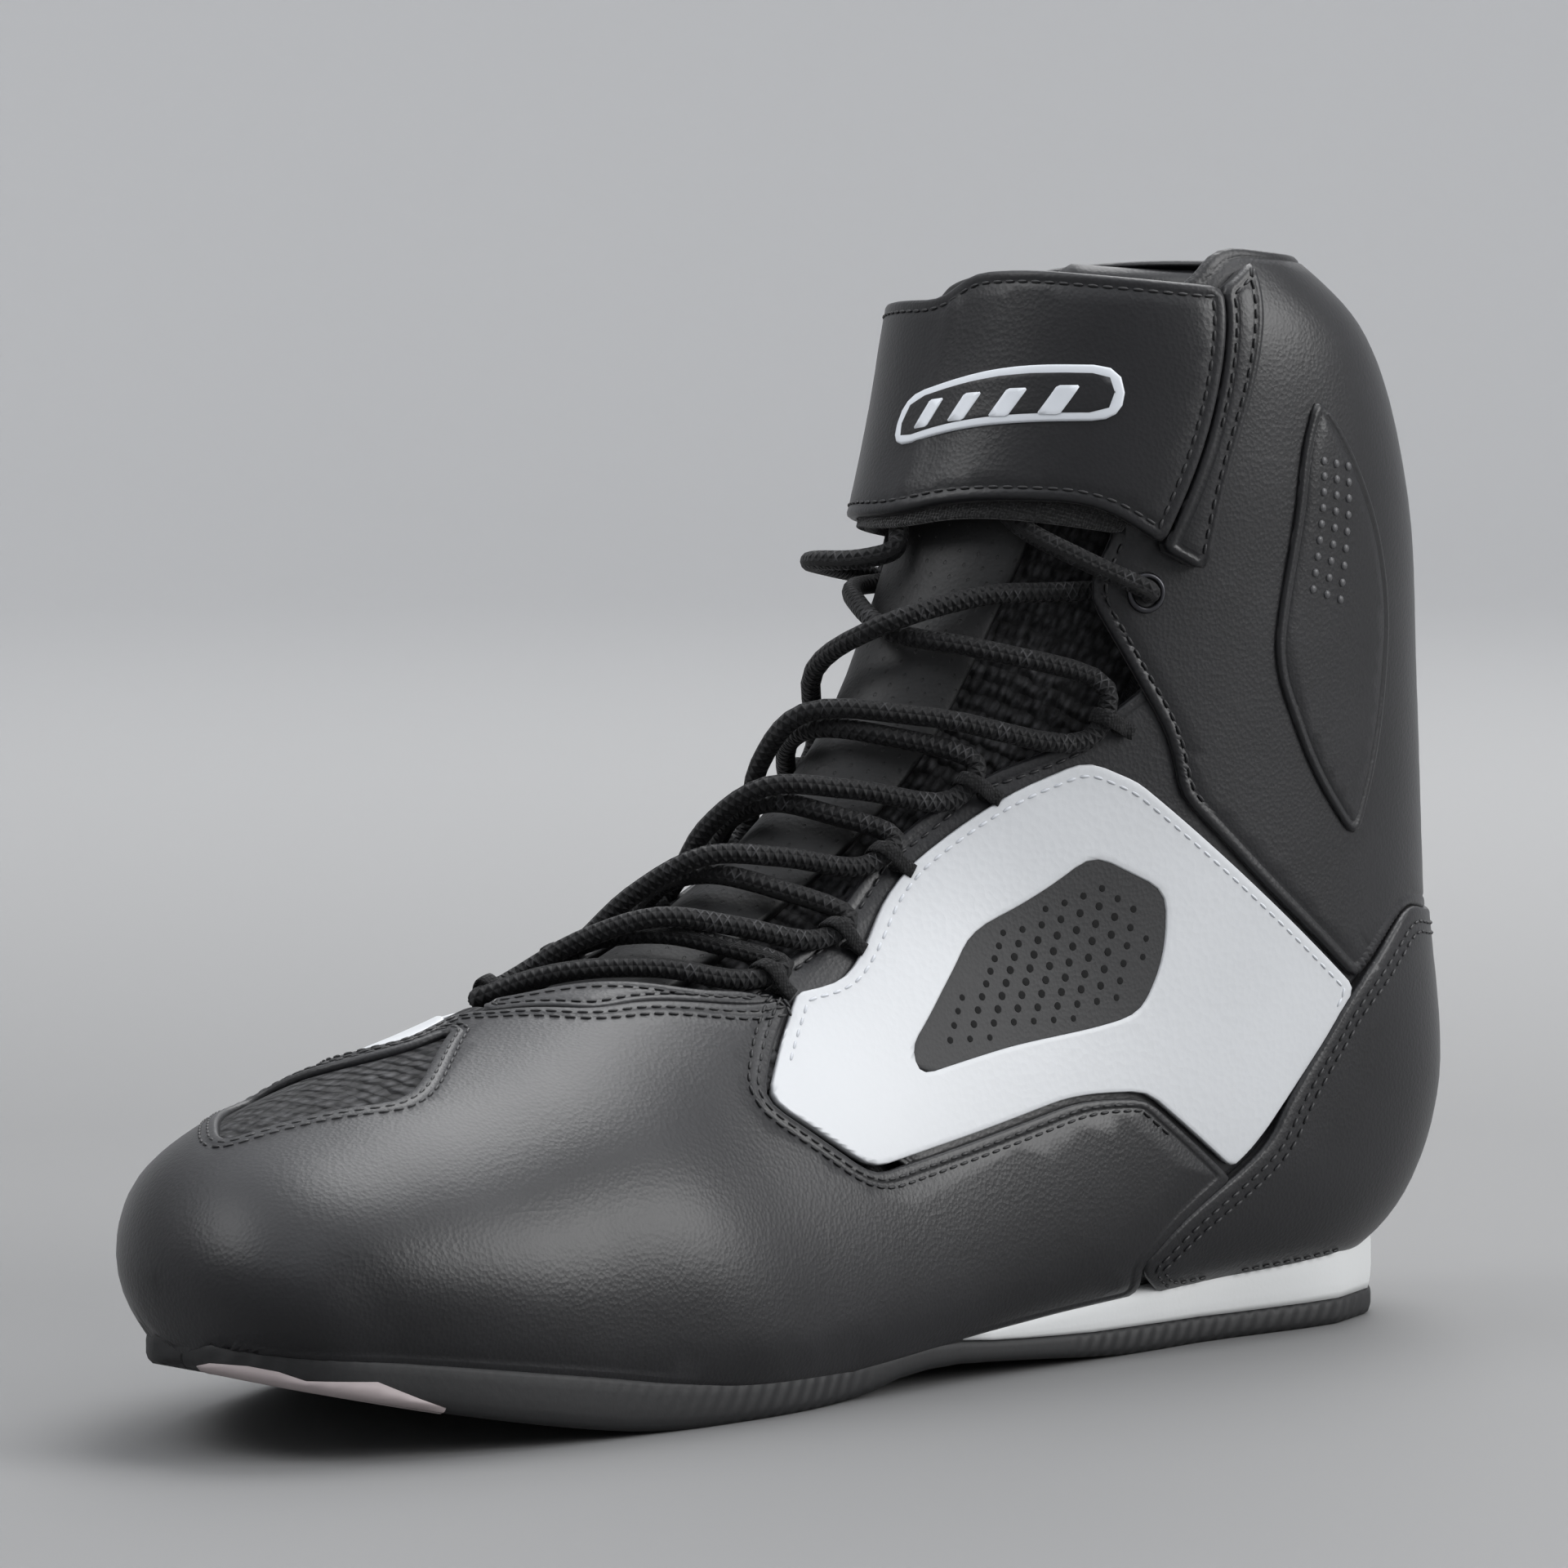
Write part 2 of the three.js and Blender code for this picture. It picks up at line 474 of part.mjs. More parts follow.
// ---- The lace's route: [station, share, height], from its inner end to its outer end ----
const OVER = 5; // height of a strand that crosses over another
const UNDER = 0.9; // height of a strand that is crossed
const TURN = LACE_DIAMETER / 2 - 1; // height at a loop
const NEAR_ROWS = [[7.2, 0.266], [7.95, 0.27], [8.85, 0.224], [9.8, 0.247], [10.78, 0.342]];
const FAR_ROWS = [[5.78, -0.134], [6.6, -0.172], [7.75, -0.192], [8.7, -0.212], [9.8, -0.247]];
const EYELET_PLACE = [11.78, 0.336];
const LACE_ROUTE = [
  [12.42, 0.13, 0], [12.22, 0.13, 0], [12.03, 0.17, 0.1], [11.86, 0.26, 3], [11.79, 0.326, 5],
  [11.78, 0.336, 3], [11.78, 0.336, -2], [11.7, 0.295, -4], [11.56, 0.235, -2.4], [11.38, 0.165, 0.6],
  [10.8, 0.05, OVER], [10.02, -0.238, TURN], [9.6, -0.238, TURN],
  [9.75, 0, UNDER], [9.98, 0.238, TURN], [9.6, 0.238, TURN],
  [8.85, 0.03, OVER], [7.95, -0.183, TURN], [7.55, -0.183, TURN],
  [7.85, 0.04, UNDER], [8.13, 0.262, TURN], [7.78, 0.262, TURN],
  [6.95, 0.085, OVER], [5.97, -0.125, TURN], [5.62, -0.122, TURN],
  [6.2, 0.05, UNDER], [7.02, 0.25, TURN], [7.38, 0.268, TURN],
  [6.98, 0.085, UNDER], [6.42, -0.155, TURN], [6.8, -0.168, TURN],
  [7.85, 0.04, OVER], [8.66, 0.216, TURN], [9.04, 0.216, TURN],
  [8.85, 0.03, UNDER], [8.5, -0.203, TURN], [8.9, -0.203, TURN],
  [9.75, 0, OVER], [10.58, 0.33, TURN], [11, 0.33, TURN],
  [10.85, 0.05, UNDER], [11.15, -0.08, 1], [11.38, -0.165, 0.6], [11.56, -0.235, -2.4], [11.7, -0.295, -4],
  [11.78, -0.336, -2], [11.78, -0.336, 3], [11.75, -0.31, 6], [11.6, -0.22, 9.5], [11.42, -0.12, 9],
  [11.48, -0.06, 4], [11.65, -0.03, 0.5], [11.86, -0.05, -0.3], [12.2, -0.11, -0.4], [12.42, -0.11, -0.4],
];

// ---- Building ----

const shoe = new THREE.Group();

function add(name, solid, { color, roughness = 0.6, metalness = 0 }) {
  const mesh = new THREE.Mesh(toGeometry(solid), new THREE.MeshStandardMaterial({ color, roughness, metalness }));
  mesh.name = name;
  shoe.add(mesh);
}

const LEATHER = { color: 0x1b1b1d, roughness: 0.5 };
const WHITE = { color: 0xd9dde2, roughness: 0.35 };
const KNIT = { color: 0x3a3b3e, roughness: 0.9 };
const MESH = { color: 0x232427, roughness: 0.85 };
const LINING_CLOTH = { color: 0x2a2a2c, roughness: 0.9 };
const BOARD = { color: 0xb9a888, roughness: 0.85 };
const RUBBER = { color: 0x2c2d30, roughness: 0.7 };
const FOAM = { color: 0xe6e8ea, roughness: 0.55 };
const PLASTIC = { color: 0x303236, roughness: 0.45 };
const PINK = { color: 0xc9b3b3, roughness: 0.6 };
const STEEL = { color: 0x3c3d40, roughness: 0.3, metalness: 0.9 };
const CORD = { color: 0x161617, roughness: 0.8 };

// The lace's centre line: a strand that crosses the foot gets a point more in each half, and the tube has
// one ring at each point.
const lacePoints = LACE_ROUTE.flatMap((here, i) => {
  const next = LACE_ROUTE[i + 1];
  if (!next || Math.abs(next[1] - here[1]) < 0.14) return [over(...here)];
  return [over(...here), over(...here.map((value, k) => (value + next[k]) / 2))];
});
const laceCurve = new THREE.CatmullRomCurve3(lacePoints, false, "centripetal");
laceCurve.getUtoTmapping = (u) => u;
const LACE_SIDES = 8;

function laceTube(radius) {
  const ring = new THREE.Shape();
  for (let i = 0; i < LACE_SIDES; i++) {
    const a = (i * 2 * Math.PI) / LACE_SIDES;
    if (i === 0) ring.moveTo(radius, 0);
    else ring.lineTo(radius * Math.cos(a), radius * Math.sin(a));
  }
  return weld(new THREE.ExtrudeGeometry(ring, { steps: lacePoints.length - 1, bevelEnabled: false, extrudePath: laceCurve }));
}

// A solid of revolution whose axis starts at a point and runs along a direction.
function turned(profilePoints, origin, direction, segments = 16) {
  const lathe = new THREE.LatheGeometry(profilePoints.map(([r, z]) => new THREE.Vector2(r, z)), segments);
  const turn = new THREE.Quaternion().setFromUnitVectors(new THREE.Vector3(0, 1, 0), direction);
  return weld(lathe.applyQuaternion(turn).translate(origin.x, origin.y, origin.z));
}

const largest = (solid) => solid.decompose().reduce((a, b) => (a.volume() > b.volume() ? a : b));
const ring = (bore, rim, low, high) => [[bore, low], [rim, low], [rim, high], [bore, high], [bore, low]];

function addSole() {
  const plan = solePlan(SOLE_EDGE);
  const boardPlan = solePlan(LINING[0] - 2);
  const footbedPlan = solePlan(LINING[0] - 5);
  const shankPlan = [[-SHANK_WIDTH / 2, -95], [SHANK_WIDTH / 2, -95], [SHANK_WIDTH / 2, 20], [-SHANK_WIDTH / 2, 20]].map(
    ([l, f]) => [l, f * LENGTH_SCALE],
  );
  const inlayPlan = [[34, 118], [8, 126], [4, 108], [30, 98]].map(([l, f]) => [l * WIDTH_SCALE, f * LENGTH_SCALE]);
  const grown = (points, margin) => {
    const [cl, cf] = [0, 1].map((k) => points.reduce((sum, p) => sum + p[k], 0) / points.length);
    return points.map(([l, f]) => [l + Math.sign(l - cl) * margin, f + Math.sign(f - cf) * margin]);
  };
  const shankPocket = slab(grown(shankPlan, GAP), SOLE_TOP, -SHANK_THICKNESS - 2 * GAP, SOLE_TOP, 5);
  const inlayPocket = slab(grown(inlayPlan, GAP), SOLE_BOTTOM, -9, SOLE_BOTTOM, INLAY_THICKNESS + GAP);
  const whole = slab(plan, SOLE_BOTTOM, 0, SOLE_TOP, 0);
  const wedgeSpace = sidePrism(between(WEDGE_BOTTOM, 0, SOLE_TOP, 9, HEEL_END - 10, WEDGE_TIP));
  const wedge = slab(plan, WEDGE_BOTTOM, GAP, SOLE_TOP, 0, HEEL_END, WEDGE_TIP - GAP);
  add("outsole", whole.subtract(wedgeSpace).subtract(shankPocket).subtract(inlayPocket), RUBBER);
  add("toe_inlay", slab(inlayPlan, SOLE_BOTTOM, 0, SOLE_BOTTOM, INLAY_THICKNESS), PINK);
  add("heel_wedge", wedge.subtract(shankPocket), FOAM);
  add("shank", slab(shankPlan, SOLE_TOP, -SHANK_THICKNESS - GAP, SOLE_TOP, -GAP), STEEL);
  const boardTop = GAP + INSOLE_BOARD_THICKNESS;
  add("insole_board", slab(boardPlan, SOLE_TOP, GAP, SOLE_TOP, boardTop), BOARD);
  const footbed = [VAMP_LINING, LINING_INNER, mirrored(LINING_INNER)].reduce(
    (solid, outline) => solid.subtract(panel(outline, [LINING[0] - GAP, LINING[1]], { floor: UNDER_LINING })),
    slab(footbedPlan, SOLE_TOP, boardTop + GAP, SOLE_TOP, boardTop + GAP + FOOTBED_THICKNESS),
  );
  add("footbed", largest(footbed), LINING_CLOTH);
}

function addUpper() {
  const innerHole = grow(OVERLAY_INNER, SEAM);
  const outerHole = grow(OVERLAY_OUTER, SEAM);
  const backHoles = [fromBack(innerHole), fromBack(outerHole)];
  const fat = laceTube(LACE_DIAMETER / 2 + GAP);
  const clear = (solid) => solid.subtract(fat);
  const ventPlate = (side) => panel(side(grow(VENT, -SEAM)), [PANEL[0], PANEL[0] + 0.8]);

  add("toe_puff", panel(TOE_PUFF, STIFFENER, { floor: UNDER_LINING }), BOARD);
  add("heel_stiffener", panel(STIFFENER_BACK, STIFFENER, { back: true, floor: UNDER_LINING }), BOARD);
  add("vamp_lining", panel(VAMP_LINING, LINING, { floor: UNDER_LINING }), LINING_CLOTH);
  add("lining_inner", clear(panel(LINING_INNER, LINING, { floor: UNDER_LINING })), LINING_CLOTH);
  add("lining_outer", clear(panel(mirrored(LINING_INNER), LINING, { floor: UNDER_LINING })), LINING_CLOTH);
  add("knit_vamp", panel(VAMP, BASE, { cuts: [grow(QUARTER_INNER, SEAM), grow(QUARTER_OUTER, SEAM)] }), KNIT);
  add("quarter_inner", clear(panel(QUARTER_INNER, BASE)), LEATHER);
  add("quarter_outer", clear(panel(QUARTER_OUTER, BASE)), LEATHER);
  const counterCut = grow(COUNTER_BACK.map(([t, s, r]) => [t, 1 - s, r]), SEAM);
  const wrapCuts = [innerHole, outerHole, KNIT_WINDOW, counterCut, mirrored(counterCut)];
  add("toe_wrap", panel(TOE_WRAP, PANEL, { cuts: wrapCuts }), LEATHER);
  add("throat_piece", clear(panel(THROAT_PIECE, PANEL, { cuts: [innerHole, outerHole, grow(TOE_WRAP, SEAM)] })), LEATHER);
  add("overlay_inner", panel(OVERLAY_INNER, PANEL, { cuts: [VENT] }), WHITE);
  add("overlay_outer", panel(OVERLAY_OUTER, PANEL, { cuts: [mirrored(VENT)] }), WHITE);
  add("vent_inner", ventPlate((p) => p), MESH);
  add("vent_outer", ventPlate(mirrored), MESH);
  add("heel_counter", panel(COUNTER, PANEL, { back: true, cuts: backHoles }), LEATHER);
  for (const [name, side, hole] of [["inner", (p) => p, innerHole], ["outer", mirrored, outerHole]]) {
    const eyelet = over(EYELET_PLACE[0], side([EYELET_PLACE])[0][1], PANEL[1] + GAP);
    const axis = outward(EYELET_PLACE[0], side([EYELET_PLACE])[0][1]);
    const bore = turned([[0, -6], [EYELET_BORE + 0.4 + GAP, -6], [EYELET_BORE + 0.4 + GAP, 3], [0, 3]], eyelet, axis);
    const cuff = panel(side(CUFF_INNER), PANEL, { cuts: [hole, side(counterCut)] });
    add("cuff_" + name, clear(cuff.subtract(bore)), LEATHER);
    add("ankle_guard_" + name, panel(side(GUARD), TRIM), LEATHER);
    const grommet = [
      [EYELET_BORE, -1.8], [EYELET_BORE + 0.4, -1.8], [EYELET_BORE + 0.4, 0], [EYELET_BORE + EYELET_RIM, 0],
      [EYELET_BORE + EYELET_RIM, 0.7], [EYELET_BORE, 0.7], [EYELET_BORE, -1.8],
    ];
    add("eyelet_" + name, turned(grommet, eyelet, axis), STEEL);
    add("gusset_" + name, panel(side(GUSSET_INNER), GUSSET), MESH);
  }
  add("tongue_lower", clear(panel(TONGUE_LOWER, TONGUE)), LEATHER);
  add("tongue_upper", panel(TONGUE_UPPER, TONGUE), LEATHER);
}

function addStrap() {
  const seamGap = (points) => points.map(([t, s, r]) => [t, s + 0.008, r]);
  const lace = laceTube(LACE_DIAMETER / 2 + GAP / 3);
  add("strap_base", panel([...seamGap(STRAP_FOLD), ...STRAP_SEAM], [TRIM[0], STRAP[1] - 0.8]), LEATHER);
  add("strap", panel(STRAP_OUTLINE, STRAP), LEATHER);
  add("strap_backing", panel(BACKING_OUTLINE, BACKING).subtract(lace), LINING_CLOTH);
  add("strap_badge", panel(BADGE_OUTLINE, BADGE), WHITE);
  add("loop_patch", panel(LOOP_PATCH, TRIM), LINING_CLOTH);
}

function addLacing() {
  const fat = laceTube(LACE_DIAMETER / 2 + 2 * GAP);
  const bore = LACE_DIAMETER / 2 + GAP + 0.2;
  for (const [side, rows] of [["inner", NEAR_ROWS], ["outer", FAR_ROWS]])
    rows.forEach(([t, s], i) => {
      const along = over(t + 0.1, s, TURN).sub(over(t - 0.1, s, TURN)).normalize();
      const loop = turned(ring(bore, bore + LOOP_THICKNESS, -LOOP_WIDTH / 2, LOOP_WIDTH / 2), over(t, s, TURN), along, 12);
      add("lace_loop_" + side + "_" + (i + 1), largest(loop.subtract(fat)), MESH);
    });
  add("shoelace", laceTube(LACE_DIAMETER / 2), CORD);
  for (const [name, at, sign] of [["inner", 0, -1], ["outer", 1, 1]]) {
    const direction = laceCurve.getTangentAt(at).multiplyScalar(sign);
    const start = laceCurve.getPointAt(at).addScaledVector(direction, GAP);
    const tip = [[0, 0], [LACE_DIAMETER / 2 - 0.2, 0], [LACE_DIAMETER / 2 - 0.2, AGLET_LENGTH], [0, AGLET_LENGTH]];
    add("aglet_" + name, turned(tip, start, direction, 8), PLASTIC);
  }
}

addSole();
addUpper();
addStrap();
addLacing();

for (const piece of shoe.children) piece.position.set(...FRAME_SHIFT, 0);

export default shoe;
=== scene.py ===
"""Ankle-high lace-up riding shoe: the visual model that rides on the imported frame."""
import json
import math

import bmesh
import bpy
import numpy as np
from mathutils import Matrix, Vector
from mathutils.geometry import delaunay_2d_cdt


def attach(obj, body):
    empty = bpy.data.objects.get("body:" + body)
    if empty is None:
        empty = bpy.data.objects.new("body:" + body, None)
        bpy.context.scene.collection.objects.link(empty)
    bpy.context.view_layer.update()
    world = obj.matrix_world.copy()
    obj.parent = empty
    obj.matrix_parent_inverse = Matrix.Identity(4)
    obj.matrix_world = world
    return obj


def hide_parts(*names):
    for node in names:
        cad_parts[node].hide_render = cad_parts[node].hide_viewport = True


bl_info = {
    "name": "Riding shoe",
    "version": (1, 0, 0),
    "blender": (4, 5, 0),
    "location": "View3D > Sidebar > Shoe",
    "description": "Builds an ankle-high lace-up riding shoe with a strap, panels, laces and a two-part sole",
    "category": "Add Mesh",
}

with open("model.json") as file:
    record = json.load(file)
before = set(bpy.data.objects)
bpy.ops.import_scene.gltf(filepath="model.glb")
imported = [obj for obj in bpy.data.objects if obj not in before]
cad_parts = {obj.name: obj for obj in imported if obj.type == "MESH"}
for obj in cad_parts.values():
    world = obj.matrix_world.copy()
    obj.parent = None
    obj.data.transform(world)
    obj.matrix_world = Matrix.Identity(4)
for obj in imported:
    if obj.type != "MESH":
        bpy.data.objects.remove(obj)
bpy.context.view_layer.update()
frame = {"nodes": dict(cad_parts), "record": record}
NODES = frame["nodes"]
MM = 0.001
SHIFT = np.array([0.34, -1.25, 0.0])  # from the last's axes to the middle of the shoe's box, mm

# ---- The last: girth sections as in the part's source, in mm ----
# Each row holds the front's forward and up, the back's forward and up, the inner and outer half width,
# the sideways offset, the share at which it is widest, and the roundness above and below that.
SECTIONS = np.array([
    [141, 16, 141, 16, 0, 0, 14, 0.5, 2.2, 2.4],
    [145, 31, 127, 10, 23, 18, 13, 0.5, 2.2, 2.6],
    [136, 45, 109, 5, 34, 31, 9, 0.56, 2.2, 3.0],
    [117, 53, 87, 2, 42, 41, 5, 0.62, 2.2, 3.3],
    [94, 59, 64, 0, 46, 48, 2, 0.68, 2.2, 3.4],
    [72, 65, 38, 0, 47, 50, 1, 0.72, 2.1, 3.4],
    [52, 72, 10, 0, 43, 48, 0, 0.73, 2.0, 3.2],
    [34, 80, -32, 3, 38, 44, 0, 0.72, 1.9, 3.0],
    [17, 90, -80, 8, 36, 40, 0, 0.7, 1.9, 2.8],
    [2, 102, -126, 12, 36, 38, 0, 0.66, 1.9, 2.6],
    [-12, 116, -147, 36, 36, 37, 0, 0.6, 2.0, 2.4],
    [-23, 132, -145, 76, 36, 37, 0, 0.55, 2.1, 2.3],
    [-33, 150, -142, 114, 37, 38, 0, 0.52, 2.2, 2.3],
    [-41, 168, -138, 150, 38, 39, 0, 0.5, 2.3, 2.3],
    [-46, 185, -126, 180, 37, 38, 0, 0.5, 2.3, 2.3],
    [-50, 200, -104, 198, 31, 32, 0, 0.5, 2.3, 2.3],
])
STATIONS = len(SECTIONS) - 1
HALF_WIDTHS = (4, 5)
FIRST = SECTIONS[1] * np.where(np.isin(np.arange(SECTIONS.shape[1]), HALF_WIDTHS), -1, 1)
ROWS = np.vstack([FIRST, SECTIONS, 2 * SECTIONS[-1] - SECTIONS[-2]])
# Forward and up along the foot, mm
SOLE_TOP = np.array([
    [-150, 19], [-125, 16], [-100, 14], [-70, 12.5], [-40, 11], [-10, 8.5], [20, 6], [50, 7], [68, 9],
    [87, 12], [115, 16], [141, 19], [150, 21],
])
SOLE_BOTTOM = np.array([
    [-152, 9], [-147, 5], [-142, 1.5], [-136, 0], [-55, 0], [-30, 2], [-8, 3.5], [5, 3], [15, 0.5], [28, 0],
    [60, 0], [72, 0.7], [85, 2.5], [99, 4.9], [113, 7.6], [126, 10.5], [139, 13.5], [150, 17],
])
WEDGE_BOTTOM = np.array([[-152, 9.5], [-146, 7], [-134, 4.8], [-84, 4.6], [-44, 5.2], [-20, 6.4], [-8, 7.6]])


def section(t):
    """Section values at stations t, by a Catmull-Rom curve through the listed ones."""
    t = np.clip(np.asarray(t, float), 0, STATIONS - 1e-9)
    i = t.astype(int)
    x = (t - i)[..., None]
    a, b, c, d = ROWS[i], ROWS[i + 1], ROWS[i + 2], ROWS[i + 3]
    return b + 0.5 * x * ((c - a) + x * ((2 * a - 5 * b + 4 * c - d) + x * (3 * (b - c) + d - a)))


def skin(t, share):
    """Points of the last's surface, mm, in the row frame. A share past 1 carries on round the back line."""
    share = np.where(np.abs(share) > 1, share - 2 * np.sign(share), share)
    k = section(t)
    s = np.abs(share)
    side = np.where(share < 0, -1.0, 1.0)
    widest = k[..., 7]
    top = s <= widest
    angle = np.where(top, s / widest, 1 + (s - widest) / (1 - widest)) * np.pi / 2
    power = np.where(top, k[..., 8], k[..., 9])
    c, w = np.cos(angle), np.sin(angle)
    around = (np.abs(c) ** power + np.abs(w) ** power) ** (-1 / power)
    along = widest - np.where(top, widest, 1 - widest) * c * around
    half = np.where(side > 0, k[..., 4], k[..., 5])
    f = k[..., 0] + (k[..., 2] - k[..., 0]) * along
    u = k[..., 1] + (k[..., 3] - k[..., 1]) * along
    return np.stack([k[..., 6] + side * half * w * around, -f, u], -1) + SHIFT


def slopes(t, share, h=0.01):
    """Derivatives of the surface by station and by share."""
    t = np.clip(np.asarray(t, float), 0.25, STATIONS - h)
    along = (skin(t + h, share) - skin(t - h, share)) / (2 * h)
    return along, (skin(t, share + h) - skin(t, share - h)) / (2 * h)


def outward(t, share):
    """Unit normals of the surface."""
    dt, ds = slopes(t, share)
    n = np.cross(ds, dt)
    return n / np.maximum(np.linalg.norm(n, axis=-1, keepdims=True), 1e-9)


def over(t, share, height):
    """Points at heights in mm above the surface."""
    return skin(t, share) + outward(t, share) * np.asarray(height, float)[..., None]


SOLE_LAP = 0.6  # how far the upper reaches below the sole's top, mm
FEATHER_SAMPLES = 700


def feather(t, side):
    """The share at which a section meets the sole."""
    shares = np.linspace(0.3, 1, FEATHER_SAMPLES)
    p = skin(np.full(FEATHER_SAMPLES, float(t)), side * shares)
    below = p[:, 2] < np.interp(-p[:, 1], SOLE_TOP[:, 0], SOLE_TOP[:, 1]) - SOLE_LAP
    return side * (shares[np.argmax(below)] if below.any() else 1.0)


# ---- Outlines as (station, share, corner radius in mm); a share below 0 is on the outer side ----
FULLY_ROUND = 9  # a corner of this radius is as round as its neighbours allow
OVERLAY_INNER = [
    (7.25, 0.312, 1), (7.6, 0.333, 6), (7.94, 0.312, 6), (8.5, 0.266, 6), (8.9, 0.252, 4),
    (9.44, 0.262, 9), (9.96, 0.288, 9), (10.43, 0.335, 4), (10.47, 0.39, 2), (10.26, 0.529, 9),
    (10.09, 0.654, 2), (9.5, 0.65, 9), (8.97, 0.672, 9), (8.54, 0.709, 2), (8.53, 0.598, 3),
    (8.15, 0.582, 9), (7.55, 0.584, 9), (6.64, 0.578, 4), (6.3, 0.432, 4), (6.78, 0.366, 9),
]
OVERLAY_OUTER = [
    (4.55, -0.06, 2), (5.1, -0.075, 3), (5.4, -0.2, 4), (6.2, -0.27, 9), (7.2, -0.32, 9),
    (8.6, -0.335, 9), (9.6, -0.34, 9), (10.43, -0.355, 4), (10.47, -0.39, 2), (10.26, -0.529, 9),
    (10.09, -0.654, 2), (9.5, -0.65, 9), (8.97, -0.672, 9), (8.54, -0.709, 2), (8.53, -0.598, 3),
    (8.15, -0.582, 9), (7.55, -0.584, 9), (6.4, -0.56, 9), (5.3, -0.45, 9), (4.55, -0.28, 5),
    (4.3, -0.14, 5),
]
VENT = [
    (9.8, 0.382, 4), (9.87, 0.455, 4), (9.44, 0.492, 9), (8.98, 0.518, 4), (7.42, 0.49, 4),
    (7.55, 0.452, 4), (8.7, 0.354, 6),
]
KNIT_WINDOW = [
    (2.5, 0, 3), (3.05, 0.07, 9), (3.62, 0.15, 3), (3.9, 0.138, 9), (4.2, 0.098, 9), (4.6, 0.035, 9),
    (4.85, 0, 2), (4.35, -0.02, 9), (4, -0.08, 9), (3.82, -0.17, 9), (3.62, -0.24, 5), (3.3, -0.21, 9),
    (2.9, -0.13, 9), (2.55, -0.04, 5),
]
WRAP_TOP_INNER = [
    (7.7, 0.812, 2), (7.95, 0.778, 9), (8.48, 0.722, 2), (8.48, 0.606, 3), (8.15, 0.59, 9),
    (7.55, 0.592, 9), (6.6, 0.587, 4), (6.24, 0.432, 4), (6.72, 0.36, 9), (7.18, 0.314, 1),
    (6.82, 0.291, 9), (6.12, 0.188, 6), (5.71, 0.152, 5), (5.26, 0.012, 3), (5.22, -0.02, 3),
]
WRAP_TOP_OUTER = [
    (5.1, -0.064, 2), (4.55, -0.05, 3), (4.24, -0.14, 5), (4.5, -0.285, 6), (5.28, -0.46, 9),
    (6.4, -0.568, 9), (7.55, -0.592, 9), (8.15, -0.59, 9), (8.48, -0.606, 3), (8.48, -0.722, 2),
    (7.95, -0.778, 9), (7.7, -0.812, 2),
]
KNIT = [
    (2.1, 0.25, 9), (5.1, 0.42, 9), (6.7, 0.42, 3), (6.75, 0.28, 9), (6.58, 0.23, 9), (6.1, 0.115, 9),
    (5.55, 0, 9), (5.4, -0.03, 9), (5.55, -0.14, 9), (5.4, -0.4, 3), (4.5, -0.42, 9), (2.1, -0.25, 9),
]
THROAT = [
    (5.32, 0.005, 3), (5.75, 0.155, 3), (6.15, 0.19, 9), (6.84, 0.292, 9), (7.12, 0.318, 2),
    (6.95, 0.268, 9), (6.63, 0.226, 9), (6.16, 0.11, 6), (5.62, 0, 6), (5.45, -0.06, 3), (5.28, -0.02, 3),
]
LACE_EDGE_INNER = [
    (6.75, 0.262, 3), (7.95, 0.256, 9), (8.85, 0.211, 9), (9.8, 0.236, 9), (10.78, 0.345, 9),
    (11.8, 0.42, 9), (12.4, 0.36, 6),
]
LACE_EDGE_OUTER = [
    (5.5, -0.13, 3), (6.6, -0.165, 9), (7.75, -0.185, 9), (8.7, -0.205, 9), (9.8, -0.236, 9),
    (10.78, -0.345, 9), (11.8, -0.42, 9), (12.4, -0.36, 6),
]
CUFF_FRONT = [
    (14.92, 0.46, 6), (14.4, 0.34, 6), (14.2, 0.27, 6), (12.6, 0.262, 6), (12.15, 0.284, 9),
    (11.85, 0.276, 9), (11.6, 0.282, 7), (11.16, 0.358, 9), (10.88, 0.409, 9), (10.54, 0.436, 9),
    (10.48, 0.46, 2),
]
CUFF_BOTTOM = [(10.3, 0.54, 9), (10.14, 0.654, 2), (10.5, 0.686, 9), (10.76, 0.728, 6)]
CUFF_RIM = [(14.86, 0.6, 9), (14.8, 0.8, 9), (14.76, 1, 9), (14.76, 1.2, 9), (14.6, 1.4, 9)]
LINING_TOP = [
    (5.1, 0.33, 3), (10.7, 0.34, 9), (11.3, 0.41, 9), (12.2, 0.41, 9), (12.6, 0.35, 9), (14.5, 0.36, 4),
    (14.7, 0.7, 9), (14.65, 1, 9), (14.7, 1.3, 9), (14.5, 1.64, 4), (12.6, 1.65, 9), (12.2, 1.59, 9),
    (11.3, 1.59, 9), (10.7, 1.66, 9), (5.1, 1.67, 3),
]
COUNTER_TOP = [(10.03, 0.346, 9), (10.45, 0.31, 9), (10.72, 0.27, 6), (11.05, 0, 9)]
COUNTER_FRONT = [(7.72, 0.188, 2), (7.95, 0.217, 9), (8.5, 0.275, 9), (9.33, 0.342, 9)]
GUARD = [
    (13.52, 0.53, 4), (13.09, 0.495, 9), (12.17, 0.491, 9), (11.65, 0.494, 8), (11.1, 0.568, 9),
    (10.86, 0.634, 5), (11.55, 0.66, 9), (12.23, 0.667, 8), (12.62, 0.642, 9), (13.24, 0.576, 9),
]
STRAP_FOLD = [(12.15, 0.33, 2), (13.2, 0.352, 9), (14.35, 0.392, 2)]
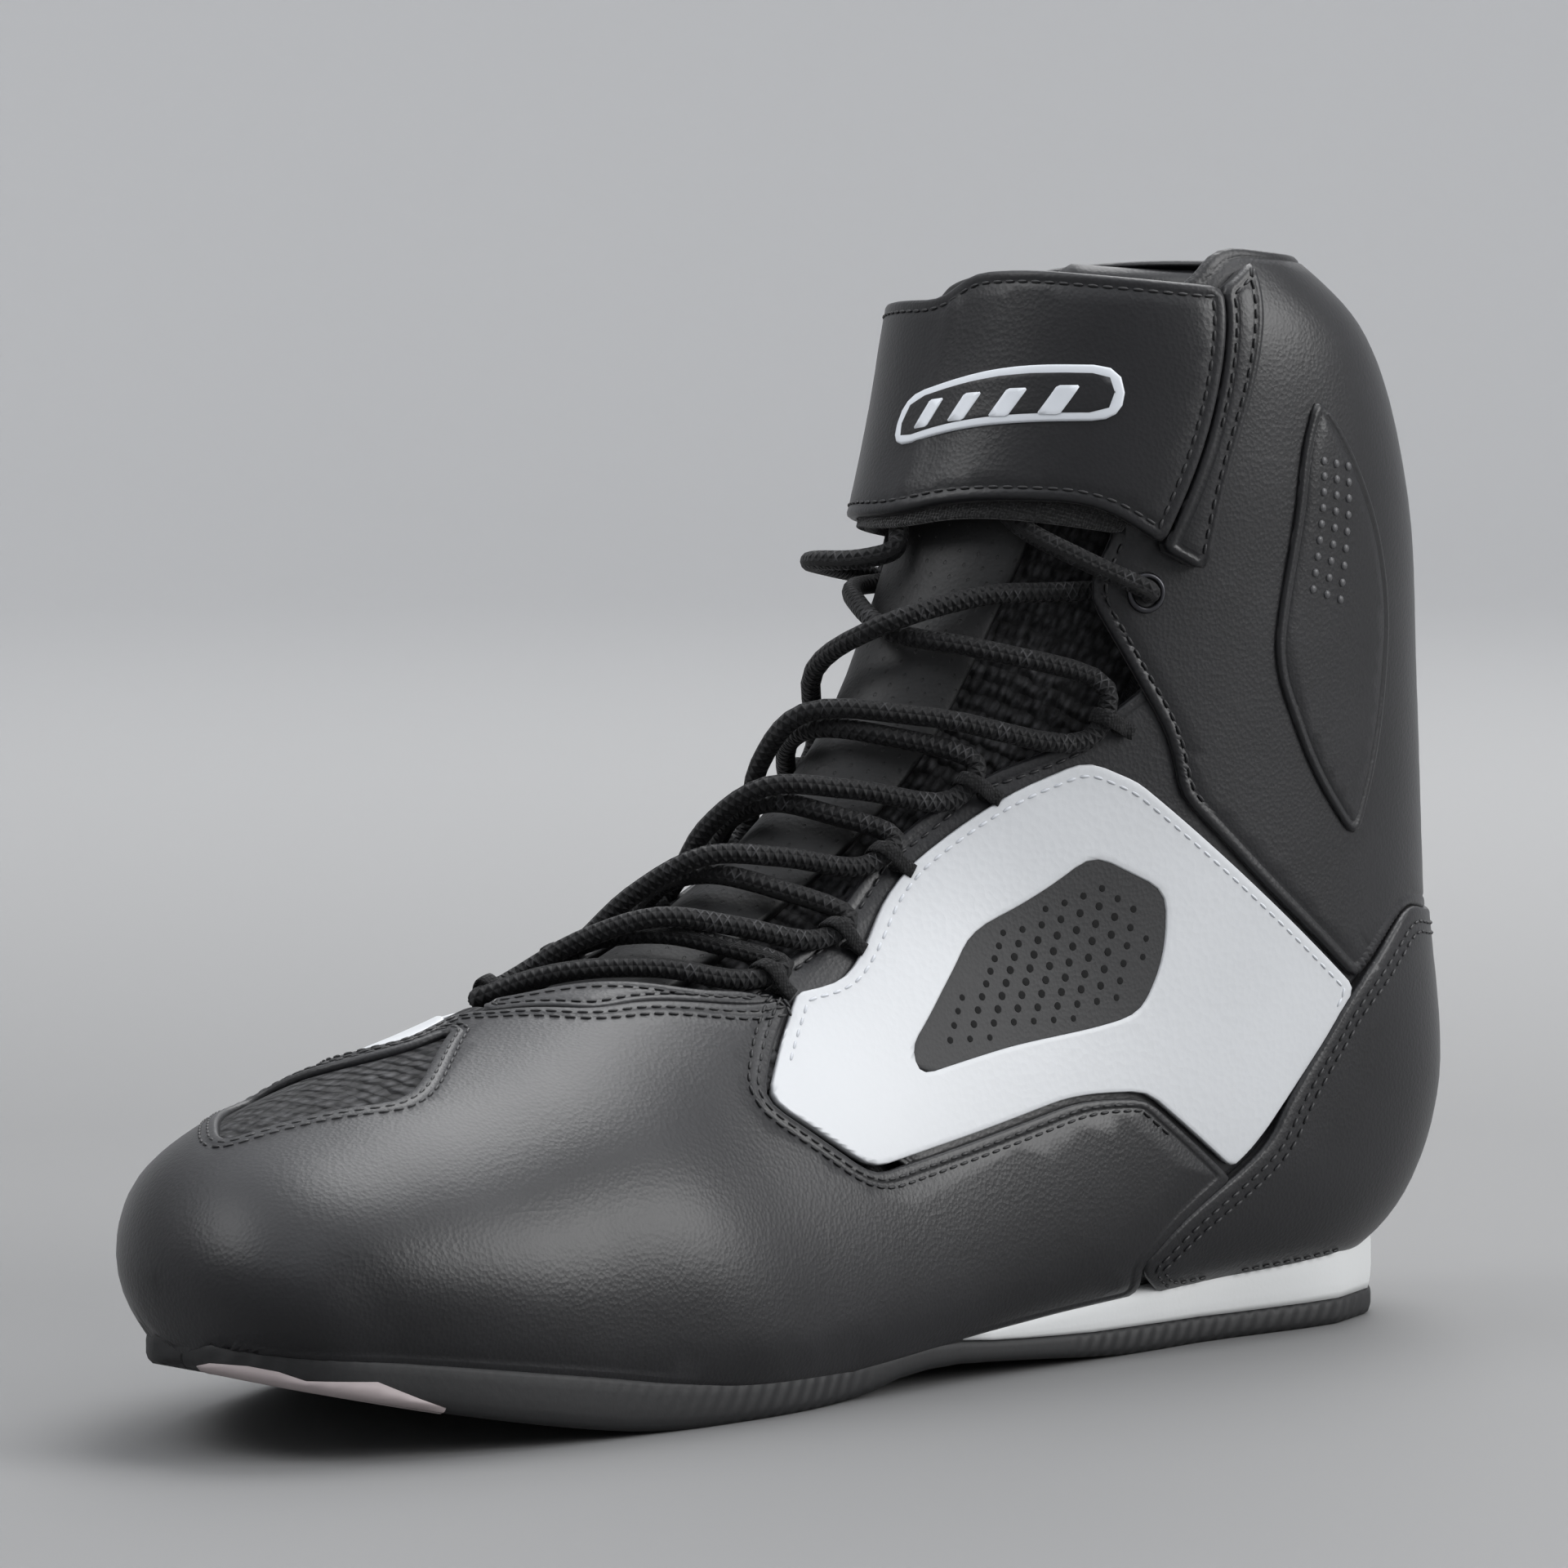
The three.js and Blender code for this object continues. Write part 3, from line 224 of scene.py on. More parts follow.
STRAP_OUTLINE = STRAP_FOLD + [
    (14.45, 0.24, 9), (14.5, 0.12, 9), (14.44, 0.02, 4), (14.12, -0.035, 5), (14.1, -0.2, 9),
    (13.95, -0.42, 8), (12.3, -0.42, 8), (12, -0.2, 9), (11.85, -0.03, 9), (12.1, 0.1, 9),
    (12.33, 0.25, 9),
]
STRAP_BASE = [
    (12.12, 0.332, 1), (13.2, 0.354, 9), (14.35, 0.394, 1), (14.68, 0.483, 3), (13.67, 0.418, 9),
    (12.85, 0.38, 9), (12.04, 0.386, 3),
]
BACKING = [
    (12.15, 0.29, 2), (14.1, 0.3, 2), (14.2, 0.15, 6), (13.85, 0, 9), (13.9, -0.2, 9), (13.8, -0.41, 4),
    (12.2, -0.41, 4), (11.93, -0.2, 9), (11.76, -0.03, 9), (12, 0.12, 9),
]
BADGE = [
    (13.05, -0.06, 5), (13.45, 0.12, 9), (13.55, 0.25, 6), (13.05, 0.255, 6), (12.85, 0.12, 9),
    (12.5, -0.06, 5),
]
TONGUE_TOP = [
    (13.055, -0.19, 1), (14.3, -0.22, 9), (14.55, -0.1, 9), (14.62, 0.1, 9), (14.45, 0.22, 9),
    (13.055, 0.19, 1),
]
TONGUE_LOWER = [
    (5.05, -0.1, 3), (5.05, 0.1, 3), (6.5, 0.17, 9), (13.03, 0.19, 1), (13.03, -0.19, 1), (6.5, -0.17, 9),
]
GUSSET = [(5.3, 0.14, 3), (6.5, 0.15, 9), (12.9, 0.17, 3), (12.9, 0.37, 3), (5.3, 0.37, 3)]
LOOP_PATCH = [(12.55, -0.29, 2), (12.55, -0.4, 2), (13.7, -0.4, 2), (13.7, -0.29, 2)]
# Lace loops of each side and the inner eyelet, as (station, share)
NEAR_ROWS = [(7.2, 0.266), (7.95, 0.27), (8.85, 0.224), (9.8, 0.247), (10.78, 0.342)]
FAR_ROWS = [(5.78, -0.134), (6.6, -0.172), (7.75, -0.192), (8.7, -0.212), (9.8, -0.247)]
EYELET = (11.78, 0.336)
# The lace's route as (station, share, height in mm), with strands over and under and turns in the loops
OVER, UNDER, TURN = 5.0, 0.9, 0.8
LACE_ROUTE = [
    (12.42, 0.13, 0), (12.22, 0.13, 0), (12.03, 0.17, 0.1), (11.86, 0.26, 3), (11.79, 0.326, 5),
    (11.78, 0.336, 3), (11.78, 0.336, -2), (11.7, 0.295, -4), (11.56, 0.235, -2.4), (11.38, 0.165, 0.6),
    (10.8, 0.05, OVER), (10.02, -0.238, TURN), (9.6, -0.238, TURN),
    (9.75, 0, UNDER), (9.98, 0.238, TURN), (9.6, 0.238, TURN),
    (8.85, 0.03, OVER), (7.95, -0.183, TURN), (7.55, -0.183, TURN),
    (7.85, 0.04, UNDER), (8.13, 0.262, TURN), (7.78, 0.262, TURN),
    (6.95, 0.085, OVER), (5.97, -0.125, TURN), (5.62, -0.122, TURN),
    (6.2, 0.05, UNDER), (7.02, 0.25, TURN), (7.38, 0.268, TURN),
    (6.98, 0.085, UNDER), (6.42, -0.155, TURN), (6.8, -0.168, TURN),
    (7.85, 0.04, OVER), (8.66, 0.216, TURN), (9.04, 0.216, TURN),
    (8.85, 0.03, UNDER), (8.5, -0.203, TURN), (8.9, -0.203, TURN),
    (9.75, 0, OVER), (10.58, 0.33, TURN), (11, 0.33, TURN),
    (10.85, 0.05, UNDER), (11.15, -0.08, 1), (11.38, -0.165, 0.6), (11.56, -0.235, -2.4), (11.7, -0.295, -4),
    (11.78, -0.336, -2), (11.78, -0.336, 3), (11.75, -0.31, 6), (11.6, -0.22, 9.5), (11.42, -0.12, 9),
    (11.48, -0.06, 4), (11.65, -0.03, 0.5), (11.86, -0.05, -0.3), (12.2, -0.11, -0.4), (12.42, -0.11, -0.4),
]


SIDES = (("inner", 1), ("outer", -1))


def on_side(points, sign):
    """An inner side's outline, or its mirror image for the outer side."""
    return [(t, sign * s, *r) for t, s, *r in points]


def metric(p):
    """Millimetres per station and per share near pattern points p."""
    dt, ds = slopes(p[:, 0], p[:, 1])
    return np.stack([np.linalg.norm(dt, axis=1), np.linalg.norm(ds, axis=1)], 1)


WIDEST_CORNER = 60.0
CORNER_SHARE = 0.49  # the most of a side's length that one corner takes


def smooth_outline(points, gap=1.6):
    """A dense closed outline. Each corner is rounded by its own radius, in mm."""
    p = np.array([q[:2] for q in points], float)
    radius = np.array([q[2] if len(q) > 2 else 0 for q in points], float)
    m = metric(p)
    out = []
    for i in range(len(p)):
        scale = m[i]
        back, ahead = (p[i - 1] - p[i]) * scale, (p[(i + 1) % len(p)] - p[i]) * scale
        lb, la = np.linalg.norm(back), np.linalg.norm(ahead)
        wanted = radius[i] if radius[i] < FULLY_ROUND else WIDEST_CORNER
        reach = min(wanted, lb * CORNER_SHARE, la * CORNER_SHARE)
        a, b = back / lb * reach, ahead / la * reach
        n = max(2, int(reach / gap) + 2) if reach > 0 else 1
        for x in np.linspace(0, 1, n) if n > 1 else [0.5]:
            out.append(p[i] + ((1 - x) ** 2 * a + x**2 * b) / scale)
    dense = []
    out = np.array(out)
    for a, b in zip(out, np.roll(out, -1, 0)):
        length = np.linalg.norm((b - a) * metric((a + b)[None] / 2)[0])
        if length < 1e-3:
            continue
        for x in np.arange(0, 1, 1 / max(1, round(length / gap))):
            dense.append(a + (b - a) * x)
    return np.array(dense)


def offset(outline, distance):
    """The outline moved inwards by a distance in mm."""
    m = metric(outline)
    ahead, back = np.roll(outline, -1, 0), np.roll(outline, 1, 0)
    e = (ahead - back) * m
    e /= np.maximum(np.linalg.norm(e, axis=1, keepdims=True), 1e-9)
    x, y = outline.T
    turn = 1 if np.sum(x * np.roll(y, -1) - np.roll(x, -1) * y) > 0 else -1
    return outline + turn * distance * np.stack([-e[:, 1], e[:, 0]], 1) / m


def inside(points, outline):
    """Which of the points lie within a closed outline."""
    x, y = points[:, 0][:, None], points[:, 1][:, None]
    x0, y0 = outline.T
    x1, y1 = np.roll(outline, -1, 0).T
    crosses = ((y0 > y) != (y1 > y)) & (x < (x1 - x0) * (y - y0) / (y1 - y0 + 1e-15) + x0)
    return crosses.sum(1) % 2 == 1


def edge_distance(points, outlines):
    """Distance in mm from pattern points to the nearest outline."""
    m = metric(points)
    best = np.full(len(points), 1e9)
    for line in outlines:
        for a, b in zip(line, np.roll(line, -1, 0)):
            pa, ba = (points - a) * m, (b - a) * m
            h = np.clip((pa * ba).sum(1) / np.maximum((ba * ba).sum(1), 1e-12), 0, 1)
            best = np.minimum(best, np.linalg.norm(pa - ba * h[:, None], axis=1))
    return best


ROW_PITCH = 0.87  # of the spacing, between staggered rows


def pattern_points(outline, spacing):
    """Staggered points over the outline's box, about a spacing in mm apart."""
    rows = []
    low, high = outline.min(0), outline.max(0)
    t = low[0]
    while t < high[0]:
        a, b = metric(np.array([[max(t, 0.3), np.median(outline[:, 1])]]))[0]
        s = np.arange(low[1], high[1], spacing / b)
        rows.append(np.stack([np.full(len(s), t), s + (len(rows) % 2) * 0.5 * spacing / b], 1))
        t = t + ROW_PITCH * spacing / a
    return np.vstack(rows)


def make(name, verts, faces, uv=None):
    """A smooth mesh object from points in mm."""
    bm = bmesh.new()
    for v in verts:
        bm.verts.new([float(x) * MM for x in v])
    bm.verts.ensure_lookup_table()
    layer = bm.loops.layers.uv.new("UVMap") if uv is not None else None
    for f in faces:
        if len(set(f)) < 3:
            continue
        try:
            face = bm.faces.new([bm.verts[i] for i in f])
        except ValueError:
            continue
        face.smooth = True
        if layer:
            for loop, i in zip(face.loops, f):
                loop[layer].uv = uv[i]
    return finish_mesh(bm, name)


def finish_mesh(bm, name):
    """Turn a bmesh into an object of the scene."""
    mesh = bpy.data.meshes.new(name)
    bm.to_mesh(mesh)
    bm.free()
    piece = bpy.data.objects.new(name, mesh)
    bpy.context.scene.collection.objects.link(piece)
    return piece


def face_out(piece):
    """Recalculate a closed piece's normals so that they point outwards."""
    bm = bmesh.new()
    bm.from_mesh(piece.data)
    bmesh.ops.recalc_face_normals(bm, faces=bm.faces)
    bm.to_mesh(piece.data)
    bm.free()
    return piece


def revolve(bm, profile, steps):
    """Spin a line of (radius, height) points about the vertical axis."""
    line = [bm.verts.new((r, 0, z)) for r, z in profile]
    edges = [bm.edges.new(pair) for pair in zip(line, line[1:])]
    bmesh.ops.spin(bm, geom=line + edges, cent=(0, 0, 0), axis=(0, 0, 1), dvec=(0, 0, 0), angle=2 * math.pi,
                   steps=steps, use_merge=True, use_duplicate=False)


def place(piece, slot, replaces=(), body="shoe", finish=None):
    """Give a piece its finish, the body it rides on and the CAD nodes that it stands for."""
    piece.data.materials.clear()
    piece.data.materials.append(MATERIALS[finish or slot])
    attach(piece, body)
    if replaces:
        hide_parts(*replaces)
    return piece


RING_CLEARANCE = 0.9  # of a ring's distance from its edge, below which its points would crowd another edge


def panel_net(outline, cut, rings, spacing):
    """Points and triangles over an outline and round its holes, with rings of points along each edge."""
    lines = [outline, *cut]
    cloud = []
    for d in sorted(rings):
        for k, line in enumerate(lines):
            ring = offset(line, d if k == 0 else -d)
            cloud.append(ring[edge_distance(ring, lines) > RING_CLEARANCE * d])
    field = pattern_points(outline, spacing)
    field = field[inside(field, outline)]
    cloud.append(field[edge_distance(field, lines) > max(rings) + 0.45 * spacing])
    points = np.vstack([*lines, *cloud])
    keep = inside(points, outline)
    rim = sum(len(line) for line in lines)
    keep[:rim] = True
    for c in cut:
        drop = inside(points, c)
        drop[:rim] = False
        keep &= ~drop
    scale = metric(np.array([[np.mean(outline[:, 0]), np.mean(outline[:, 1])]]))[0]
    edges, at = [], 0
    for line in lines:
        n = len(line)
        edges += [(at + i, at + (i + 1) % n) for i in range(n)]
        at += n
    flat, _, faces, _, _, _ = delaunay_2d_cdt([Vector(p * scale) for p in points[keep]], edges, [], 0, 1e-4)
    flat = np.array([tuple(v) for v in flat]) / scale
    faces = np.array([tuple(f) for f in faces])
    centre = flat[faces].mean(1)
    good = inside(centre, outline)
    for c in cut:
        good &= ~inside(centre, c)
    return flat, faces[good], scale


GROOVE_DEPTH = 0.28
GROOVE_WIDTH = 0.4


def panel(name, points, low, high, spacing=3.2, holes=(), edge=0.55, groove=None, relief=None):
    """A closed leather panel over an outline, with a rounded edge and an optional stitch groove."""
    outline = smooth_outline(points)
    cut = [smooth_outline(h) for h in holes]
    rings = [0.35 * edge, edge, 2 * edge + 0.6]
    if groove:
        rings += [groove - 0.5, groove, groove + 0.5]
    flat, faces, scale = panel_net(outline, cut, rings, spacing)
    d = edge_distance(flat, [outline, *cut])
    fall = np.clip(1 - d / edge, 0, 1)
    height = high - edge * (1 - np.sqrt(np.clip(1 - fall**2, 0, 1)))
    if groove:
        height = height - GROOVE_DEPTH * np.exp(-(((d - groove) / GROOVE_WIDTH) ** 2))
    if relief is not None:
        height = height + relief(flat, d)
    n = len(flat)
    top, bottom = over(flat[:, 0], flat[:, 1], height), over(flat[:, 0], flat[:, 1], np.full(n, low))
    a, b, c = faces[0]
    if np.cross(top[b] - top[a], top[c] - top[a]) @ outward(*flat[a]) < 0:
        faces = faces[:, ::-1]
    faces = [tuple(f) for f in faces]
    turned = [tuple(i + n for i in f[::-1]) for f in faces]
    sides = {pair for f in faces for pair in zip(f, f[1:] + f[:1])}
    rim = [(b, a, a + n, b + n) for f in faces for a, b in zip(f, f[1:] + f[:1]) if (b, a) not in sides]
    uv = np.stack([flat[:, 0] * scale[0], flat[:, 1] * metric(flat)[:, 1]], 1) * MM
    return make(name, np.vstack([top, bottom]), faces + turned + rim, np.vstack([uv, uv]))


def lay(name, outline, low, high, slot, replaces=(), body="shoe", finish=None, **shape):
    """Make a panel between two heights above the last, in mm, and place it."""
    return place(panel(name, outline, low, high, **shape), slot, replaces, body, finish)


def sole_limit(front, rear, side, step=0.25):
    """Pattern points along the line where the upper meets the sole."""
    return [(t, feather(t, side), FULLY_ROUND) for t in np.arange(front, rear, step)]


def grown(outline, margin, gap=1.6):
    """The outline moved outwards by a margin in mm, to lap over its neighbours."""
    return [(t, s, 0) for t, s in offset(smooth_outline(outline, gap), -margin)]


def toe_outline():
    """The toe wrap's outline: along the sole, up to the side panels and across the throat."""
    inner = sole_limit(0.4, 7.7, 1)
    outer = sole_limit(0.4, 7.7, -1)[::-1]
    return [(0.16, 0.56, 1), *inner, *WRAP_TOP_INNER, *WRAP_TOP_OUTER, *outer, (0.16, -0.56, 1)]


def counter_outline():
    """The heel counter's outline, both sides of the back line."""
    edge = COUNTER_FRONT + COUNTER_TOP[:-1]
    front = [(t, 1 - y, r) for t, y, r in edge]
    rear = [(t, 1 + y, r) for t, y, r in reversed(edge)]
    inner = [(t, s, r) for t, s, r in sole_limit(7.8, 9.25, 1)]
    outer = [(t, 2 + s, r) for t, s, r in sole_limit(7.8, 9.25, -1)]
    return [*front, (11.05, 1, FULLY_ROUND), *rear, *outer, (9.33, 1, FULLY_ROUND), *inner[::-1]]


# ---- Materials ----

def nodes_of(name):
    """A new material with its node tree and its shader."""
    m = bpy.data.materials.new(name)
    m.use_nodes = True
    return m, m.node_tree, m.node_tree.nodes["Principled BSDF"]


def node(tree, kind, inputs=None, **settings):
    """A node with its sockets linked or set."""
    n = tree.nodes.new("ShaderNode" + kind)
    for key, value in settings.items():
        setattr(n, key, value)
    for key, value in (inputs or {}).items():
        if isinstance(value, bpy.types.NodeSocket):
            tree.links.new(value, n.inputs[key])
        else:
            n.inputs[key].default_value = value
    return n


def ramp(tree, fac, stops):
    n = node(tree, "ValToRGB", {"Fac": fac})
    cr = n.color_ramp
    while len(cr.elements) < len(stops):
        cr.elements.new(1)
    for e, (pos, colour) in zip(cr.elements, stops):
        e.position = pos
        e.color = (*colour, 1)
    return n.outputs["Color"]


def grey(v):
    return (v, v, v)


def surface_coords(tree, kind="Object"):
    return node(tree, "TexCoord").outputs[kind]


def noise(tree, co, scale, detail):
    return node(tree, "TexNoise", {"Vector": co, "Scale": scale, "Detail": detail}).outputs["Fac"]


def spread(tree, value, **limits):
    """The value mapped between limits, such as To_Min and To_Max."""
    inputs = {key.replace("_", " "): limit for key, limit in limits.items()}
    return node(tree, "MapRange", {"Value": value, **inputs}).outputs["Result"]


def maths(tree, operation, a, b=0.5):
    return node(tree, "Math", {0: a, 1: b}, operation=operation).outputs[0]


def vectors(tree, operation, a, b=(0, 0, 0)):
    return node(tree, "VectorMath", {0: a, 1: b}, operation=operation).outputs["Vector"]


def length_of(tree, vector):
    return node(tree, "VectorMath", {0: vector}, operation="LENGTH").outputs["Value"]


def bump(tree, bsdf, height, distance, strength=1.0):
    """Raise the surface by a height, on top of what is already raised."""
    inputs = {"Height": height, "Distance": distance, "Strength": strength}
    if bsdf.inputs["Normal"].is_linked:
        inputs["Normal"] = bsdf.inputs["Normal"].links[0].from_socket
    n = node(tree, "Bump", inputs)
    tree.links.new(n.outputs["Normal"], bsdf.inputs["Normal"])


def set_sockets(tree, bsdf, **sockets):
    """Set or link the shader's sockets, named with _ for a space."""
    for key, value in sockets.items():
        socket = bsdf.inputs[key.replace("_", " ")]
        if isinstance(value, bpy.types.NodeSocket):
            tree.links.new(value, socket)
        else:
            socket.default_value = value


def leather(name, base, light, rough=(0.42, 0.58), grain=1300.0, depth=0.00007, sheen=0.0):
    """Microfibre or coated leather: pebble grain, faint creases and cloudy colour."""
    m, tree, bsdf = nodes_of(name)
    co = surface_coords(tree)
    cloud = noise(tree, co, 38.0, 5.0)
    pebble = node(tree, "TexVoronoi", {"Vector": co, "Scale": grain, "Randomness": 1.0})
    fine = noise(tree, co, grain * 2.2, 3.0)
    set_sockets(tree, bsdf, Base_Color=ramp(tree, cloud, [(0.3, base), (0.75, light)]),
                Roughness=spread(tree, cloud, To_Min=rough[0], To_Max=rough[1]),
                Sheen_Weight=sheen, Sheen_Roughness=0.4, Specular_IOR_Level=0.4)
    bump(tree, bsdf, pebble.outputs["Distance"], depth, 0.6)
    bump(tree, bsdf, fine, depth * 0.5, 0.5)
    bump(tree, bsdf, cloud, 0.0006, 0.2)
    return m


def woven(name, dark, light, pitch, sheen=0.25, depth=0.0003, coords="UV"):
    """Knit or weave: rows of small loops with mixed light and dark yarn, each loop darker towards its edge as
    painted shade between the loops.
    """
    m, tree, bsdf = nodes_of(name)
    co = surface_coords(tree, coords)
    wobble = node(tree, "TexNoise", {"Vector": co, "Scale": 0.35 / pitch, "Detail": 2.0})
    shift = node(tree, "VectorMath", {0: wobble.outputs["Color"], "Scale": pitch * 0.8}, operation="SCALE")
    moved = vectors(tree, "ADD", co, shift.outputs["Vector"])
    loops = node(tree, "TexVoronoi", {"Vector": moved, "Scale": 1 / pitch, "Randomness": 0.35})
    cells = loops.outputs["Distance"]
    rows = node(tree, "TexWave", {"Vector": moved, "Scale": 0.3 / pitch, "Distortion": 2.0, "Detail": 1.0,
                                  "Detail Scale": 2.0})
    middle = tuple((a + b) / 2 for a, b in zip(dark, light))
    colour = ramp(tree, noise(tree, co, 1.3 / pitch, 4.0), [(0.36, dark), (0.5, middle), (0.64, light)])
    # Painted shade: each loop's colour darkens towards its edge.
    shade = ramp(tree, cells, [(0.15, grey(1.0)), (0.62, grey(0.22))])
    mix = node(tree, "Mix", {"Factor": 1.0, 6: colour, 7: shade}, data_type="RGBA", blend_type="MULTIPLY")
    set_sockets(tree, bsdf, Base_Color=mix.outputs[2], Roughness=0.85, Specular_IOR_Level=0.25,
                Sheen_Weight=sheen)
    bump(tree, bsdf, maths(tree, "SUBTRACT", 1.0, cells), depth, 0.9)
    bump(tree, bsdf, rows.outputs["Fac"], depth * 0.6, 0.6)
    return m


def plain(name, colour, rough, metal=0.0, grain=400.0, depth=0.00005, vary=0.12, coat=0.0):
    """Moulded rubber, foam, plastic or metal with fine texture and slight colour change."""
    m, tree, bsdf = nodes_of(name)
    co = surface_coords(tree)
    fine = noise(tree, co, grain, 4.0)
    dark = tuple(c * (1 - vary) for c in colour)
    light = tuple(min(1, c * (1 + vary)) for c in colour)
    set_sockets(tree, bsdf, Base_Color=ramp(tree, noise(tree, co, 30.0, 3.0), [(0.3, dark), (0.7, light)]),
                Roughness=spread(tree, fine, To_Min=rough - 0.06, To_Max=rough + 0.08), Metallic=metal,
                Coat_Weight=coat)
    bump(tree, bsdf, fine, depth, 0.7)
    return m


def braid(name, dark, fleck):
    """Round braided lace: crossing yarns that wind round it, some of them lighter."""
    yarns_per_metre, yarns_round = 1250.0, 8.0
    m, tree, bsdf = nodes_of(name)
    co = surface_coords(tree, "UV")
    parts = node(tree, "SeparateXYZ", {"Vector": co})
    waves = []
    for turn in (yarns_round, -yarns_round):
        along = maths(tree, "MULTIPLY", parts.outputs["X"], yarns_per_metre)
        round_it = maths(tree, "MULTIPLY", parts.outputs["Y"], turn)
        angle = maths(tree, "MULTIPLY", maths(tree, "ADD", along, round_it), math.pi)
        waves.append(maths(tree, "SINE", angle))
    height = maths(tree, "MAXIMUM", *waves)
    grid = vectors(tree, "FLOOR", vectors(tree, "MULTIPLY", co, (480.0, 3.0, 1.0)))
    flecks = node(tree, "TexWhiteNoise", {"Vector": grid}, noise_dimensions="2D")
    fac = maths(tree, "MULTIPLY", flecks.outputs["Value"], height)
    colour = ramp(tree, fac, [(0.0, dark), (0.78, dark), (0.9, fleck)])
    set_sockets(tree, bsdf, Base_Color=colour, Roughness=0.6, Specular_IOR_Level=0.25, Sheen_Weight=0.04)
    bump(tree, bsdf, height, 0.00025, 0.9)
    return m


MATERIALS = {}


def build_materials(look):
    """Fill MATERIALS, one for each material slot and each finish of the visible pieces."""
    black, white = tuple(look.leather_colour), tuple(look.overlay_colour)
    worn = tuple(c * 1.7 + 0.002 for c in black)
    bright = tuple(min(1, c * 1.05) for c in white)
    cloth_dark = (0.012, 0.012, 0.013)
    MATERIALS.update({
        "leather_black": leather("black_microfibre", black, worn, (0.33, 0.46), sheen=0.04),
        "synthetic_white": leather("white_synthetic", white, bright, (0.36, 0.46), 700.0, 0.00005),
        "knit_grey": woven("charcoal_knit", (0.006, 0.006, 0.007), (0.06, 0.06, 0.063), 0.0029, 0.03, 0.0013),
        "mesh_dark": woven("gusset_mesh", (0.007, 0.007, 0.008), (0.07, 0.07, 0.073), 0.0016, depth=0.0006),
        "vent_mesh": leather("vent_sheet", cloth_dark, (0.02, 0.02, 0.021), (0.5, 0.65)),
        # Near-black for the vents' hole discs: painted shade in the holes.
        "hole": plain("shade_in_holes", grey(0.001), 0.95),
        "lining_cloth": woven("lining_cloth", cloth_dark, (0.04, 0.04, 0.042), 0.0009, depth=0.0002),
        "hook_loop_fabric": woven("hook_loop_tape", grey(0.008), grey(0.035), 0.0006, depth=0.0004),
        "webbing": woven("loop_webbing", (0.003, 0.003, 0.0035), (0.02, 0.02, 0.021), 0.0006, 0.05, 0.0002,
                         "Object"),
        "lace_cord": braid("lace_braid", (0.0035, 0.0035, 0.004), (0.035, 0.035, 0.037)),
        "aglet_plastic": plain("lace_tip", (0.03, 0.03, 0.032), 0.25, coat=0.4),
        "rubber_black": plain("dark_rubber", tuple(look.sole_colour), 0.62, grain=900.0, depth=0.00006),
        "rubber_pink": plain("pinkish_rubber", (0.36, 0.31, 0.31), 0.6),
        "foam_white": plain("white_foam", tuple(look.wedge_colour), 0.5, grain=1200.0, depth=0.00004,
                            vary=0.03),
        "badge_white": plain("white_print", (0.68, 0.71, 0.75), 0.4, vary=0.05),
        "board": plain("fibre_board", (0.36, 0.29, 0.2), 0.85, grain=600.0, depth=0.0001),
        "steel": plain("spring_steel", (0.45, 0.45, 0.46), 0.32, 1.0),
        "eyelet_metal": plain("enamelled_eyelet", (0.05, 0.05, 0.055), 0.3, 0.9, vary=0.4),
        "thread": plain("stitch_thread", (0.014, 0.014, 0.015), 0.5, grain=3000.0),
        "thread_pale": plain("pale_thread", (0.55, 0.57, 0.6), 0.6, grain=3000.0),
        "dot_print": plain("raised_dots", (0.06, 0.06, 0.063), 0.42),
        # The tongue's finish is a darker copy of the black leather: painted shade for the tongue lying in
        # shadow.
        "tongue": leather("tongue_leather_painted_shade", (0.003, 0.003, 0.0032), (0.006, 0.006, 0.0065), (0.45, 0.6)),
    })
    # The tongue's pinholes: painted shade in round holes on a lattice.
    lattice_holes(MATERIALS["tongue"], 0.0034, 0.00036, 0.785, 0.0003)
    sidewall_ribs(MATERIALS["rubber_black"])


def lattice_holes(material, pitch, radius, turn, depth):
    """Round holes on a turned square lattice, in the piece's own UV map: near-black painted shade in each
    hole, and a dip in the bump.
    """
    tree = material.node_tree
    bsdf = tree.nodes["Principled BSDF"]
    turned = node(tree, "Mapping", {"Vector": surface_coords(tree, "UV"), "Rotation": (0, 0, turn),
                                    "Scale": (1 / pitch,) * 3})
    cell = vectors(tree, "FRACTION", turned.outputs["Vector"])
    centred = vectors(tree, "SUBTRACT", cell, (0.5, 0.5, 0.0))
    far = length_of(tree, vectors(tree, "MULTIPLY", centred, (1, 1, 0)))
    r = radius / pitch
    solid = spread(tree, far, From_Min=r * 0.85, From_Max=r * 1.1)
    old = bsdf.inputs["Base Color"].links[0].from_socket
    # Near-black colour inside each hole: painted shade.
    mix = node(tree, "Mix", {"Factor": solid, 6: (*grey(0.001), 1), 7: old}, data_type="RGBA")
    set_sockets(tree, bsdf, Base_Color=mix.outputs[2])
    bump(tree, bsdf, solid, depth)


def sidewall_ribs(material):
    """Fine slanted grooves moulded round the sole, in patches."""
    tree = material.node_tree
    co = surface_coords(tree)
    slant = node(tree, "Mapping", {"Vector": co, "Rotation": (0.5, 0, 0.18)})
    wave = node(tree, "TexWave", {"Vector": slant.outputs["Vector"], "Scale": 105.0}, bands_direction="Y")
    patch = spread(tree, noise(tree, co, 14.0, 0.0), From_Min=0.45, From_Max=0.55)
    ribs = maths(tree, "MULTIPLY", wave.outputs["Fac"], patch)
    bump(tree, tree.nodes["Principled BSDF"], ribs, 0.0003, 0.7)


# ---- Curved pieces ----

